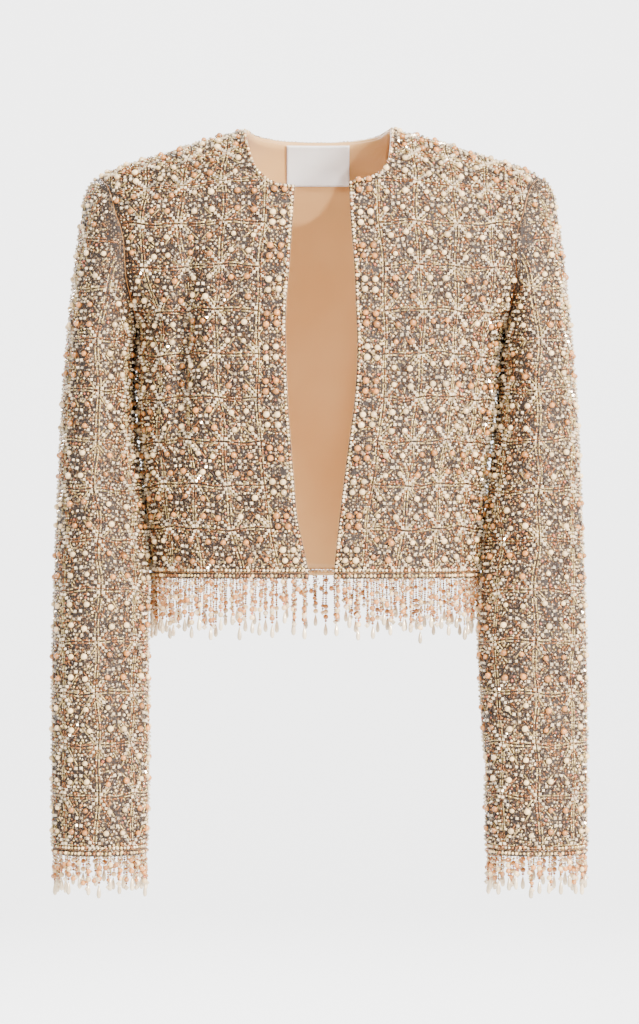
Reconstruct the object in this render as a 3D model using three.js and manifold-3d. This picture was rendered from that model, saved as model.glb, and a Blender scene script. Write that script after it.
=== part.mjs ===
// Cropped, collarless jacket with long sleeves, worn open, filled out as on a figure.
// Millimetres, +Z up. The front faces -Y and the wearer's right arm is on the -X side.
// The origin lies between the two shoulder seams, where the shoulders carry the jacket.
import * as THREE from "three";
import Module from "manifold-3d";
import { mergeVertices } from "three/addons/utils/BufferGeometryUtils.js";

const WALL = 2.4; // beaded cloth with its backing
const LINING = 1.0;
const LABEL = 0.8;
const GAP = 0.35; // left open at every seam
const ARMHOLE_GAP = 0.65; // how far out the sleeve starts from the armhole's edge
const HEM_Z = -366;
const CUFF_Z = -601;
const UNDERARM_Z = -152;
const SQUARENESS = 2.4; // of the torso's level sections, 2 being an ellipse
const SHOULDER_DROP = 50; // height over which a shoulder rounds off to the front and the back
const SHOULDER_ARC = 105; // the same stretch, measured over the cloth
const ARMHOLE_FRONT = 60; // how far the armhole reaches forward of the shoulder seam
const ARMHOLE_BACK = 62;
const BEAD_MOUND = 1.3; // height of each cluster of large beads over the cloth

const SIDE_ROWS = 12; // hem to underarm
const ARMHOLE_ROWS = 10; // underarm to shoulder tip
const ROWS = SIDE_ROWS + ARMHOLE_ROWS;
const NECK_COLUMNS = 6; // front edge to neck point, and centre back to neck point
const SHOULDER_COLUMNS = 6; // neck point to shoulder tip
const COLUMNS = NECK_COLUMNS + SHOULDER_COLUMNS;
const CAP_RINGS = 13; // sleeve rings that turn from the armhole to level
const RINGS = 29; // all the sleeve's rings below the armhole
const AROUND = 2 * ARMHOLE_ROWS;

// The torso: half-widths to the wearer's right and left, depths to the front and back.
// Above the underarm the half-widths are those that the armhole is cut out of.
const TORSO = [
  { z: 30, right: 209, left: 209, front: 66, back: 62 },
  { z: -25, right: 206, left: 206, front: 77, back: 75 },
  { z: -60, right: 203, left: 203, front: 88, back: 83 },
  { z: -90, right: 196, left: 197, front: 96, back: 87 },
  { z: -112, right: 186, left: 189, front: 100, back: 89 },
  { z: -132, right: 171, left: 175, front: 103, back: 90 },
  { z: -152, right: 158, left: 161, front: 104, back: 90 },
  { z: -191, right: 157.5, left: 154.5, front: 104, back: 89 },
  { z: -234, right: 157, left: 150.5, front: 102, back: 87 },
  { z: -272, right: 153.5, left: 145.5, front: 100, back: 84 },
  { z: -320, right: 150.5, left: 142, front: 98, back: 82 },
  { z: -366, right: 146.5, left: 140, front: 97, back: 82 },
  { z: -400, right: 145, left: 139, front: 97, back: 82 },
];

// The shoulder line's height, and what it would be across the neck hole.
const SHOULDER = [
  { x: 0, z: 35 },
  { x: 30, z: 31 },
  { x: 63, z: 17.3 },
  { x: 87, z: 10.5 },
  { x: 107, z: 4.6 },
  { x: 136, z: -5 },
  { x: 172, z: -15.7 },
  { x: 193, z: -25 },
  { x: 212, z: -35 },
];
const TIP_X = 193;

// The front edges, from the hem up to the neckline.
const FRONT_EDGE = [
  { z: -366, right: 9, left: 12.2 },
  { z: -348, right: 12.7, left: 13.9 },
  { z: -320, right: 18.6, left: 16.9 },
  { z: -288, right: 21.5, left: 20.7 },
  { z: -258, right: 24, left: 24.6 },
  { z: -216, right: 27, left: 30 },
  { z: -174, right: 28.3, left: 32 },
  { z: -144, right: 28.3, left: 30.8 },
  { z: -110, right: 25.7, left: 29.6 },
  { z: -73, right: 23.2, left: 26.8 },
  { z: -36, right: 20.8, left: 25 },
];

// The front neckline, from the front edge round to the shoulder seam.
const NECKLINE = {
  right: [
    { x: 20.8, z: -37.4 },
    { x: 34, z: -36.6 },
    { x: 46.5, z: -30 },
    { x: 54, z: -22 },
    { x: 58.5, z: -11 },
    { x: 63, z: 5.5 },
    { x: 64.5, z: 16.7 },
  ],
  left: [
    { x: 25, z: -34.5 },
    { x: 43, z: -30 },
    { x: 53.5, z: -24 },
    { x: 59.5, z: -13 },
    { x: 61.5, z: 1 },
    { x: 62.2, z: 9 },
    { x: 62, z: 17.7 },
  ],
};
const BACK_NECK_Z = 12; // at the centre back

// Soft troughs (depth over 0) and ridges in the torso, each running down the cloth.
const FOLDS = [
  { face: -1, x: -112, lean: 8, top: -50, bottom: -270, halfWidth: 24, depth: 6 },
  { face: -1, x: -142, lean: -6, top: -120, bottom: -340, halfWidth: 20, depth: -3 },
  { face: -1, x: -62, lean: 6, top: -190, bottom: -372, halfWidth: 26, depth: 3 },
  { face: -1, x: 128, lean: -10, top: -170, bottom: -345, halfWidth: 22, depth: 4.5 },
  { face: -1, x: 96, lean: -4, top: -60, bottom: -190, halfWidth: 26, depth: 2.5 },
  { face: -1, x: 60, lean: -8, top: -230, bottom: -380, halfWidth: 24, depth: -2.5 },
  { face: 1, x: -104, lean: 10, top: -80, bottom: -290, halfWidth: 28, depth: 4.5 },
  { face: 1, x: 112, lean: -8, top: -110, bottom: -320, halfWidth: 26, depth: 4 },
  { face: 1, x: -40, lean: 4, top: -230, bottom: -385, halfWidth: 30, depth: 3 },
  { face: 1, x: 48, lean: -6, top: -250, bottom: -385, halfWidth: 28, depth: 2.5 },
];

// A sleeve: its outer and inner side seen from the front, its half-depth and its middle.
const SLEEVE = [
  { z: -25, outer: 193, right: 158, left: 161, depth: 61, middle: 1 },
  { z: -31, outer: 198.5, right: 158, left: 161, depth: 61, middle: 1 },
  { z: -41, outer: 203, right: 158, left: 161, depth: 61, middle: 1 },
  { z: -60, outer: 206, right: 158, left: 161, depth: 61, middle: 1 },
  { z: -95, outer: 211, right: 158, left: 161, depth: 61.5, middle: 1 },
  { z: -130, outer: 214.5, right: 158, left: 161, depth: 62.5, middle: 0 },
  { z: -152, outer: 217, right: 158.4, left: 161.4, depth: 63, middle: 0 },
  { z: -183, outer: 219.5, right: 161, left: 159, depth: 62.5, middle: -2 },
  { z: -217, outer: 222, right: 161.5, left: 156, depth: 61, middle: -4 },
  { z: -252, outer: 223.5, right: 159.5, left: 152.5, depth: 59, middle: -9 },
  { z: -290, outer: 225, right: 156, left: 149, depth: 57, middle: -15 },
  { z: -322, outer: 226, right: 154, left: 146, depth: 54.5, middle: -21 },
  { z: -366, outer: 227, right: 150, left: 142.5, depth: 51, middle: -30 },
  { z: -420, outer: 228, right: 148, left: 137, depth: 46.5, middle: -40 },
  { z: -480, outer: 228.5, right: 147, left: 139, depth: 42.5, middle: -47 },
  { z: -545, outer: 228, right: 147, left: 142, depth: 39, middle: -52 },
  { z: -601, outer: 228, right: 148, left: 143, depth: 36.5, middle: -54 },
];

// Creases in the sleeves: turn 0 faces out, 90 the front, 180 the body and 270 the back.
const CREASES = [
  { side: "right", z: -286, turn: 118, halfTurn: 60, halfHeight: 17, depth: 4 },
  { side: "right", z: -330, turn: 60, halfTurn: 55, halfHeight: 20, depth: 3.5 },
  { side: "right", z: -352, turn: 240, halfTurn: 60, halfHeight: 18, depth: 3.5 },
  { side: "right", z: -225, turn: 70, halfTurn: 45, halfHeight: 26, depth: 3 },
  { side: "right", z: -430, turn: 105, halfTurn: 50, halfHeight: 24, depth: 2.5 },
  { side: "right", z: -510, turn: 320, halfTurn: 50, halfHeight: 22, depth: 2.5 },
  { side: "left", z: -300, turn: 80, halfTurn: 55, halfHeight: 20, depth: 3.5 },
  { side: "left", z: -345, turn: 125, halfTurn: 50, halfHeight: 18, depth: 4 },
  { side: "left", z: -320, turn: 250, halfTurn: 60, halfHeight: 22, depth: 3.5 },
  { side: "left", z: -215, turn: 110, halfTurn: 45, halfHeight: 24, depth: 3 },
  { side: "left", z: -455, turn: 60, halfTurn: 55, halfHeight: 24, depth: 2.5 },
  { side: "left", z: -530, turn: 200, halfTurn: 50, halfHeight: 22, depth: 2 },
];

const LABEL_PLACE = { x: -1.3, width: 55.5, top: 8.6, height: 34.5 };
const LABEL_GRID = { columns: 6, rows: 4 };

// Fringe: the strip that carries it, and a strand's thickness down its length.
const STRIP = { below: 0.5, height: 5, embed: 2.5 };
const HEM_FRINGE = { pitch: 9, length: 52, uneven: 9 };
const CUFF_FRINGE = { pitch: 9.4, length: 37, uneven: 5 };
const STRAND = [
  { along: 0, radius: 0.9 },
  { along: 0.34, radius: 2.1 },
  { along: 0.55, radius: 1.0 },
  { along: 0.84, radius: 2.4 },
];

const COLOURS = {
  beading: 0xbe9f82,
  lining: 0xd4a97c,
  label: 0xf0e9e4,
  glass: 0xe0cdbb,
};

// A table's column, smoothly interpolated on its key column.
function read(table, key, column, value) {
  const up = table[0][key] < table[table.length - 1][key];
  const rows = up ? table : [...table].reverse();
  const last = rows.length - 1;
  if (value <= rows[0][key]) return rows[0][column];
  if (value >= rows[last][key]) return rows[last][column];
  let i = 0;
  while (rows[i + 1][key] < value) i++;
  const slope = (a, b) =>
    (rows[b][column] - rows[a][column]) / (rows[b][key] - rows[a][key]);
  const width = rows[i + 1][key] - rows[i][key];
  const t = (value - rows[i][key]) / width;
  const startSlope = slope(Math.max(i - 1, 0), i + 1) * width;
  const endSlope = slope(i, Math.min(i + 2, last)) * width;
  const rise = rows[i + 1][column] - rows[i][column];
  const c2 = 3 * rise - 2 * startSlope - endSlope;
  const c3 = startSlope + endSlope - 2 * rise;
  return rows[i][column] + t * (startSlope + t * (c2 + t * c3));
}

const clamp = (v, low, high) => Math.min(high, Math.max(low, v));
const sideOf = (x) => (x < 0 ? "right" : "left");
const signOf = (side) => (side === "right" ? -1 : 1);

// 1 in the middle, falling smoothly to 0 at distance 1.
function swell(distance) {
  const d = Math.abs(distance);
  return d >= 1 ? 0 : (1 + Math.cos(Math.PI * d)) / 2;
}

const shoulderZ = (x) => read(SHOULDER, "x", "z", Math.abs(x));

// The drop below the shoulder line, from the way down the cloth, and back again.
function dropOf(way) {
  if (way >= SHOULDER_ARC) return SHOULDER_DROP + way - SHOULDER_ARC;
  return SHOULDER_DROP * (1 - Math.cos((Math.PI / 2) * (way / SHOULDER_ARC)));
}
function wayOf(drop) {
  if (drop >= SHOULDER_DROP) return SHOULDER_ARC + drop - SHOULDER_DROP;
  const turned = Math.acos(clamp(1 - drop / SHOULDER_DROP, -1, 1));
  return (SHOULDER_ARC * turned) / (Math.PI / 2);
}

function foldDepth(face, x, z) {
  let depth = 0;
  for (const f of FOLDS) {
    if (f.face !== face) continue;
    const middle = (f.top + f.bottom) / 2;
    const alongFold = (z - middle) / ((f.top - f.bottom) / 2);
    const across = (x - f.x - f.lean * alongFold) / f.halfWidth;
    depth += f.depth * swell(across) * swell(alongFold);
  }
  return depth;
}

// A point of the torso's outer face: across runs from -1 at the wearer's right side seam to 1
// at the left one, and way is the distance down the cloth from the shoulder line.
function torsoPoint(face, across, way) {
  const sine = Math.sin((across * Math.PI) / 2);
  const side = sideOf(across);
  let x = 190 * sine;
  let z = 0;
  for (let round = 0; round < 8; round++) {
    z = shoulderZ(x) - dropOf(way);
    x = read(TORSO, "z", side, z) * sine;
  }
  const turned = clamp(way / SHOULDER_ARC, 0, 1);
  const roundOff = Math.sin((turned * Math.PI) / 2);
  const section = Math.pow(
    Math.max(0, 1 - Math.pow(Math.abs(sine), SQUARENESS)),
    1 / SQUARENESS,
  );
  const depth = read(TORSO, "z", face < 0 ? "front" : "back", z);
  const fold = foldDepth(face, x, z) * Math.min(1, 2 * section) * roundOff;
  return new THREE.Vector3(x, face * (depth * section * roundOff - fold), z);
}

// The same point's two cloth measures, from its place seen from the front.
function clothPlace(x, z) {
  const width = read(TORSO, "z", sideOf(x), z);
  const across = (Math.asin(clamp(x / width, -1, 1)) * 2) / Math.PI;
  return { across, way: wayOf(shoulderZ(x) - z) };
}

// The armhole: an oval seen from the side, cut out of the torso. turn 0 is the shoulder tip
// and a half turn is the underarm.
function armholePlace(side, face, turn) {
  const sign = signOf(side);
  const tipZ = shoulderZ(TIP_X);
  const halfHeight = (tipZ - UNDERARM_Z) / 2;
  const z = UNDERARM_Z + halfHeight * (1 + Math.cos(turn));
  const reach = face < 0 ? ARMHOLE_FRONT : ARMHOLE_BACK;
  const depth = reach * Math.sin(turn);
  if (turn < 1e-6) return clothPlace(sign * TIP_X, tipZ);
  if (Math.PI - turn < 1e-6) return { across: sign, way: wayOf(shoulderZ(read(TORSO, "z", side, z)) - z) };
  let near = 120;
  let far = read(TORSO, "z", side, z);
  for (let round = 0; round < 40; round++) {
    const x = (near + far) / 2;
    const place = clothPlace(sign * x, z);
    const point = torsoPoint(face, place.across, place.way);
    if (Math.abs(point.y) > depth) near = x;
    else far = x;
  }
  return clothPlace((sign * (near + far)) / 2, z);
}

// Evenly spaced places along a run of places.
function spaced(places, count) {
  const curve = new THREE.CatmullRomCurve3(
    places.map((p) => new THREE.Vector3(p.across * 250, p.way, 0)),
    false,
    "centripetal",
  );
  return curve.getSpacedPoints(count).map((p) => ({ across: p.x / 250, way: p.y }));
}

function neckPlaces(side, face) {
  const sign = signOf(side);
  if (face < 0) return NECKLINE[side].map((p) => clothPlace(sign * p.x, p.z));
  const end = NECKLINE[side][NECKLINE[side].length - 1];
  const steps = [0, 0.25, 0.5, 0.75, 0.9, 1];
  return steps.map((s) => {
    const x = s * end.x;
    const z = BACK_NECK_Z + (shoulderZ(end.x) - BACK_NECK_Z) * Math.pow(s, 3);
    return clothPlace(sign * x, z);
  });
}

// The four edges of half a torso face, from the middle (front edge or centre back) outwards.
function panelEdges(side, face) {
  const sign = signOf(side);
  const neck = spaced(neckPlaces(side, face), NECK_COLUMNS);
  neck[NECK_COLUMNS].way = 0;
  const top = [...neck];
  for (let i = 1; i <= SHOULDER_COLUMNS; i++) {
    const start = NECKLINE[side][NECKLINE[side].length - 1].x;
    const x = start + ((TIP_X - start) * i) / SHOULDER_COLUMNS;
    top.push({ across: clothPlace(sign * x, shoulderZ(x)).across, way: 0 });
  }
  const outer = [];
  for (let j = 0; j <= SIDE_ROWS; j++) {
    const z = HEM_Z + ((UNDERARM_Z - HEM_Z) * j) / SIDE_ROWS;
    const x = read(TORSO, "z", side, z);
    outer.push({ across: sign, way: wayOf(shoulderZ(x) - z) });
  }
  for (let j = 1; j <= ARMHOLE_ROWS; j++)
    outer.push(armholePlace(side, face, Math.PI * (1 - j / ARMHOLE_ROWS)));
  outer[ROWS].way = 0;
  const inner = [];
  const topZ = face < 0 ? NECKLINE[side][0].z : BACK_NECK_Z;
  for (let j = 0; j <= ROWS; j++) {
    const z = HEM_Z + ((topZ - HEM_Z) * j) / ROWS;
    const x = face < 0 ? read(FRONT_EDGE, "z", side, z) : 0;
    inner.push(clothPlace(sign * x, z));
  }
  const bottom = [];
  for (let i = 0; i <= COLUMNS; i++) {
    const from = inner[0].across;
    const across = from + ((sign - from) * i) / COLUMNS;
    const x = read(TORSO, "z", side, HEM_Z) * Math.sin((across * Math.PI) / 2);
    bottom.push({ across, way: wayOf(shoulderZ(x) - HEM_Z) });
  }
  return { top, outer, inner, bottom };
}

// Places over half a torso face: rows run up, columns outwards. They are spread straight
// between the inner and outer edges, and bend towards the neckline and shoulder near the top.
function panelPlaces(side, face) {
  const { top, outer, inner, bottom } = panelEdges(side, face);
  const place = (i, j, key) => {
    const u = i / COLUMNS;
    const v = j / ROWS;
    const straight = (row) => (1 - u) * inner[row][key] + u * outer[row][key];
    const topBend = Math.pow(v, 3) * (top[i][key] - straight(ROWS));
    const bottomBend = Math.pow(1 - v, 3) * (bottom[i][key] - straight(0));
    return straight(j) + topBend + bottomBend;
  };
  const rows = [];
  for (let j = 0; j <= ROWS; j++) {
    const row = [];
    for (let i = 0; i <= COLUMNS; i++)
      row.push({ across: place(i, j, "across"), way: Math.max(0, place(i, j, "way")) });
    rows.push(row);
  }
  return rows;
}

const pointsOf = (places, face) =>
  places.map((row) => row.map((p) => torsoPoint(face, p.across, p.way)));

// Unit normals of a grid of points, on the side where (along a row) x (up the rows) points.
function normalsOf(grid, wraps) {
  const rows = grid.length;
  const columns = grid[0].length;
  return grid.map((row, j) =>
    row.map((_, i) => {
      const before = wraps ? (i + columns - 1) % columns : Math.max(i - 1, 0);
      const after = wraps ? (i + 1) % columns : Math.min(i + 1, columns - 1);
      const alongRow = new THREE.Vector3().subVectors(row[after], row[before]);
      const upRows = new THREE.Vector3().subVectors(
        grid[Math.min(j + 1, rows - 1)][i],
        grid[Math.max(j - 1, 0)][i],
      );
      return alongRow.cross(upRows).normalize();
    }),
  );
}

const moved = (grid, normals, distance) =>
  grid.map((row, j) =>
    row.map((p, i) => p.clone().addScaledVector(normals[j][i], distance)),
  );

// Clusters of large beads: every second point of every second row stands proud.
function withMounds(grid, normals, wraps, firstRow) {
  return grid.map((row, j) =>
    row.map((p, i) => {
      const raised = i % 2 === 1 && j % 2 === 1 && j >= firstRow && j < grid.length - 1;
      return raised ? p.clone().addScaledVector(normals[j][i], BEAD_MOUND) : p.clone();
    }),
  );
}

// The closed wall between an outer and an inner grid.
function wallGeometry(outer, inner, wraps) {
  const rows = outer.length;
  const columns = outer[0].length;
  const size = rows * columns;
  const positions = [...outer.flat(), ...inner.flat()].flatMap((p) => [p.x, p.y, p.z]);
  const triangles = [];
  const at = (layer, j, i) => layer * size + j * columns + (i % columns);
  const quad = (a, b, c, d) => triangles.push(a, b, c, a, c, d);
  const spans = wraps ? columns : columns - 1;
  for (let j = 0; j < rows - 1; j++) {
    for (let i = 0; i < spans; i++) {
      // Both faces are split along the shorter diagonal, so slanted cells stay smooth.
      const next = (i + 1) % columns;
      const rising = inner[j][i].distanceTo(inner[j + 1][next]);
      const falling = inner[j][next].distanceTo(inner[j + 1][i]);
      const turn = rising <= falling ? 0 : 1;
      const corners = [[j, i], [j, i + 1], [j + 1, i + 1], [j + 1, i]];
      const [a, b, c, d] = [0, 1, 2, 3].map((k) => corners[(k + turn) % 4]);
      quad(at(0, ...a), at(0, ...b), at(0, ...c), at(0, ...d));
      quad(at(1, ...a), at(1, ...d), at(1, ...c), at(1, ...b));
    }
  }
  for (let i = 0; i < spans; i++) {
    quad(at(0, 0, i), at(1, 0, i), at(1, 0, i + 1), at(0, 0, i + 1));
    quad(at(0, rows - 1, i), at(0, rows - 1, i + 1), at(1, rows - 1, i + 1), at(1, rows - 1, i));
  }
  for (let j = 0; j < rows - 1 && !wraps; j++) {
    quad(at(0, j, 0), at(0, j + 1, 0), at(1, j + 1, 0), at(1, j, 0));
    const end = columns - 1;
    quad(at(0, j, end), at(1, j, end), at(1, j + 1, end), at(0, j + 1, end));
  }
  const geometry = new THREE.BufferGeometry();
  geometry.setAttribute("position", new THREE.Float32BufferAttribute(positions, 3));
  geometry.setIndex(triangles);
  if (volumeOf(geometry) < 0) {
    for (let i = 0; i < triangles.length; i += 3)
      [triangles[i + 1], triangles[i + 2]] = [triangles[i + 2], triangles[i + 1]];
    geometry.setIndex(triangles);
  }
  geometry.computeVertexNormals();
  return geometry;
}

function volumeOf(geometry) {
  const p = geometry.getAttribute("position");
  const index = geometry.getIndex();
  const [a, b, c] = [new THREE.Vector3(), new THREE.Vector3(), new THREE.Vector3()];
  let volume = 0;
  for (let i = 0; i < index.count; i += 3) {
    a.fromBufferAttribute(p, index.getX(i));
    b.fromBufferAttribute(p, index.getX(i + 1));
    c.fromBufferAttribute(p, index.getX(i + 2));
    volume += a.dot(b.cross(c)) / 6;
  }
  return volume;
}

const group = new THREE.Group();
group.name = "cropped_jacket";

function addPiece(name, geometry, colour, roughness, metalness) {
  const material = new THREE.MeshStandardMaterial({ color: colour, roughness, metalness });
  const mesh = new THREE.Mesh(geometry, material);
  mesh.name = name;
  group.add(mesh);
}

// Outward normals of half a torso face, squared up where it meets its neighbours.
function panelNormals(points, side, face) {
  const turn = signOf(side) * -face;
  const normals = normalsOf(points, false);
  return normals.map((row, j) =>
    row.map((n, i) => {
      const out = n.clone().multiplyScalar(turn);
      const onShoulder = j === ROWS && i >= NECK_COLUMNS;
      const onSideSeam = i === COLUMNS && j <= SIDE_ROWS;
      if (onShoulder || onSideSeam) out.y = 0;
      if (i === 0 && face > 0) out.x = 0;
      return out.normalize();
    }),
  );
}

// A sleeve's rings: the first is the armhole, and each next one is more nearly level.
function sleeveRings(side, armhole) {
  const sign = signOf(side);
  const rings = [];
  const oval = (k, turn) => {
    const t = Math.min(1, k / CAP_RINGS);
    const level = -258;
    const tipZ = shoulderZ(TIP_X);
    const below = Math.max(0, k - CAP_RINGS) / (RINGS - CAP_RINGS);
    const outerZ = tipZ + (level - tipZ) * (0.3 * t + 0.7 * Math.pow(t, 1.6));
    const innerZ = UNDERARM_Z + (level - UNDERARM_Z) * t;
    const down = (CUFF_Z - level) * below;
    const middleZ = (outerZ + innerZ) / 2 + down;
    const outerX = read(SLEEVE, "z", "outer", outerZ + down);
    const innerX = read(SLEEVE, "z", side, innerZ + down);
    const depth = read(SLEEVE, "z", "depth", middleZ);
    const middleY = read(SLEEVE, "z", "middle", middleZ);
    return new THREE.Vector3(
      sign * ((outerX + innerX) / 2 + ((outerX - innerX) / 2) * Math.cos(turn)),
      middleY - depth * Math.sin(turn),
      middleZ + ((outerZ - innerZ) / 2) * Math.cos(turn),
    );
  };
  for (let k = 0; k <= RINGS; k++) {
    const ring = [];
    const keep = Math.pow(Math.max(0, 1 - k / 7), 2);
    for (let i = 0; i < AROUND; i++) {
      const turn = (2 * Math.PI * i) / AROUND;
      const point = oval(k, turn);
      const start = armhole[i].clone().sub(oval(0, turn));
      ring.push(point.addScaledVector(start, keep));
    }
    rings.push(ring);
  }
  return rings;
}

// How deep the creases press into a sleeve at a height and a turn, given in degrees.
function creaseDepth(side, z, turn) {
  let depth = 0;
  for (const c of CREASES) {
    if (c.side !== side) continue;
    const away = ((turn - c.turn + 540) % 360) - 180;
    depth += c.depth * swell(away / c.halfTurn) * swell((z - c.z) / c.halfHeight / 1.4);
  }
  return depth;
}

// Fringe: strands hung from a narrow strip, under an edge given by its outer points.
const wasm = await Module();
wasm.setup();

function solidOf(geometry) {
  const bare = geometry.clone();
  bare.deleteAttribute("normal");
  bare.deleteAttribute("uv");
  const merged = mergeVertices(bare, 1e-4);
  return new wasm.Manifold(
    new wasm.Mesh({
      numProp: 3,
      vertProperties: merged.getAttribute("position").array,
      triVerts: new Uint32Array(merged.getIndex().array),
    }),
  );
}

function geometryOf(solid) {
  const mesh = solid.getMesh();
  const positions = [];
  for (let i = 0; i < mesh.numVert; i++)
    for (let k = 0; k < 3; k++)
      positions.push(mesh.vertProperties[i * mesh.numProp + k]);
  const geometry = new THREE.BufferGeometry();
  geometry.setAttribute("position", new THREE.Float32BufferAttribute(positions, 3));
  geometry.setIndex([...mesh.triVerts]);
  geometry.computeVertexNormals();
  return geometry;
}

function strandGeometry(top, length, facing) {
  const positions = [];
  const triangles = [];
  for (const ring of STRAND) {
    for (let k = 0; k < 4; k++) {
      const turn = facing + (k * Math.PI) / 2;
      positions.push(
        top.x + ring.radius * Math.cos(turn),
        top.y + ring.radius * Math.sin(turn),
        top.z - ring.along * length,
      );
    }
  }
  positions.push(top.x, top.y, top.z - length);
  const tip = 4 * STRAND.length;
  for (let r = 0; r < STRAND.length - 1; r++) {
    for (let k = 0; k < 4; k++) {
      const [a, b] = [4 * r + k, 4 * r + ((k + 1) % 4)];
      triangles.push(a, a + 4, b, b, a + 4, b + 4);
    }
  }
  const last = tip - 4;
  for (let k = 0; k < 4; k++) triangles.push(last + k, tip, last + ((k + 1) % 4));
  triangles.push(0, 1, 2, 0, 2, 3);
  const geometry = new THREE.BufferGeometry();
  geometry.setAttribute("position", new THREE.Float32BufferAttribute(positions, 3));
  geometry.setIndex(triangles);
  return geometry;
}

function fringeGeometry(edge, normals, wraps, fringe, phase) {
  const drop = (points, z) => points.map((p) => new THREE.Vector3(p.x, p.y, p.z - z));
  const flat = normals.map((n) => new THREE.Vector3(n.x, n.y, 0).normalize());
  const inside = edge.map((p, i) => p.clone().addScaledVector(flat[i], -WALL));
  const [from, to] = [STRIP.below, STRIP.below + STRIP.height];
  const outer = [drop(edge, from), drop(edge, to)];
  const inner = [drop(inside, from), drop(inside, to)];
  const strip = solidOf(wallGeometry(outer, inner, wraps));
  const middle = edge.map((p, i) => p.clone().addScaledVector(flat[i], -WALL / 2));
  if (wraps) middle.push(middle[0].clone());
  const path = new THREE.CurvePath();
  for (let i = 0; i < middle.length - 1; i++)
    path.add(new THREE.LineCurve3(middle[i], middle[i + 1]));
  const count = Math.round(path.getLength() / fringe.pitch);
  const solids = [strip];
  for (let s = 0; s < count; s++) {
    const top = path.getPointAt((s + 0.5) / count);
    top.z -= to - STRIP.embed;
    const wave = Math.sin(2.3 * s + phase) + 0.6 * Math.sin(5.1 * s + 2 * phase);
    const length = fringe.length + STRIP.embed - STRIP.height + (fringe.uneven * wave) / 1.6;
    solids.push(solidOf(strandGeometry(top, length, 0.9 * s + phase)));
  }
  return geometryOf(wasm.Manifold.union(solids));
}

// Torso panels and the armholes that the sleeves start from.
const panels = {};
for (const side of ["right", "left"]) {
  for (const face of [-1, 1]) {
    const points = pointsOf(panelPlaces(side, face), face);
    panels[side + face] = { points, normals: panelNormals(points, side, face) };
  }
}

const sleeves = {};
for (const side of ["right", "left"]) {
  const sign = signOf(side);
  const armhole = [];
  const armholeNormals = [];
  for (let i = 0; i < AROUND; i++) {
    const face = i <= ARMHOLE_ROWS ? -1 : 1;
    const j = ROWS - (i <= ARMHOLE_ROWS ? i : AROUND - i);
    const { points, normals } = panels[side + face];
    const point = points[j][COLUMNS].clone();
    point.x += sign * ARMHOLE_GAP;
    armhole.push(point);
    armholeNormals.push(normals[j][COLUMNS]);
  }
  const rings = sleeveRings(side, armhole);
  const normals = normalsOf(rings, true).map((row) =>
    row.map((n) => n.multiplyScalar(sign)),
  );
  const pressed = rings.map((ring, k) =>
    ring.map((p, i) =>
      p.clone().addScaledVector(
        normals[k][i],
        k < 4 ? 0 : -creaseDepth(side, p.z, (360 * i) / AROUND),
      ),
    ),
  );
  // Over the shoulder the torso's wall and the sleeve's share one mitred edge.
  for (let i = 0; i < AROUND; i++) {
    if (Math.cos((2 * Math.PI * i) / AROUND) < -0.2) continue;
    const face = i <= ARMHOLE_ROWS ? -1 : 1;
    const j = ROWS - (i <= ARMHOLE_ROWS ? i : AROUND - i);
    const mitre = normals[0][i].clone().add(armholeNormals[i]).normalize();
    normals[0][i].copy(mitre);
    panels[side + face].normals[j][COLUMNS].copy(mitre);
    if (i === 0) {
      mitre.y = 0;
      mitre.normalize();
      normals[0][0].copy(mitre);
      panels[side + 1].normals[ROWS][COLUMNS].copy(mitre);
      panels[side + -1].normals[ROWS][COLUMNS].copy(mitre);
    }
  }
  sleeves[side] = { points: pressed, normals };
}

// The panels stop half a gap short of the side and shoulder seams.
function parted(points, face) {
  return points.map((row, j) =>
    row.map((p, i) => {
      const onSeam = (j === ROWS && i >= NECK_COLUMNS) || (i === COLUMNS && j <= SIDE_ROWS);
      const q = p.clone();
      if (onSeam) q.y = (face * GAP) / 2;
      return q;
    }),
  );
}

for (const side of ["right", "left"]) {
  const { normals } = panels[side + -1];
  const points = parted(panels[side + -1].points, -1);
  const outer = withMounds(points, normals, false, 1);
  const geometry = wallGeometry(outer, moved(points, normals, -WALL), false);
  addPiece("front_" + side, geometry, COLOURS.beading, 0.45, 0.15);
  const hem = fringeGeometry(points[0], normals[0], false, HEM_FRINGE, side === "right" ? 0.4 : 2.1);
  addPiece("hem_fringe_front_" + side, hem, COLOURS.glass, 0.2, 0);
}

const joinHalves = (key) =>
  panels["right1"][key].map((row, j) => [
    ...[...row].reverse(),
    ...panels["left1"][key][j].slice(1),
  ]);
const backNormals = joinHalves("normals");
const backPoints = joinHalves("points").map((row, j) =>
  row.map((p, i) => {
    const out = Math.abs(i - COLUMNS);
    const q = p.clone();
    if ((j === ROWS && out >= NECK_COLUMNS) || (out === COLUMNS && j <= SIDE_ROWS)) q.y = GAP / 2;
    return q;
  }),
);
addPiece(
  "back",
  wallGeometry(
    withMounds(backPoints, backNormals, false, 1),
    moved(backPoints, backNormals, -WALL),
    false,
  ),
  COLOURS.beading,
  0.45,
  0.15,
);
addPiece(
  "hem_fringe_back",
  fringeGeometry(backPoints[0], backNormals[0], false, HEM_FRINGE, 3.3),
  COLOURS.glass,
  0.2,
  0,
);

for (const side of ["right", "left"]) {
  const { points, normals } = sleeves[side];
  const outer = withMounds(points, normals, true, 3);
  const geometry = wallGeometry(outer, moved(points, normals, -WALL), true);
  addPiece("sleeve_" + side, geometry, COLOURS.beading, 0.45, 0.15);
  const phase = side === "right" ? 1.2 : 4.4;
  const cuff = fringeGeometry(points[RINGS], normals[RINGS], true, CUFF_FRINGE, phase);
  addPiece("cuff_fringe_" + side, cuff, COLOURS.glass, 0.2, 0);
}

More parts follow.
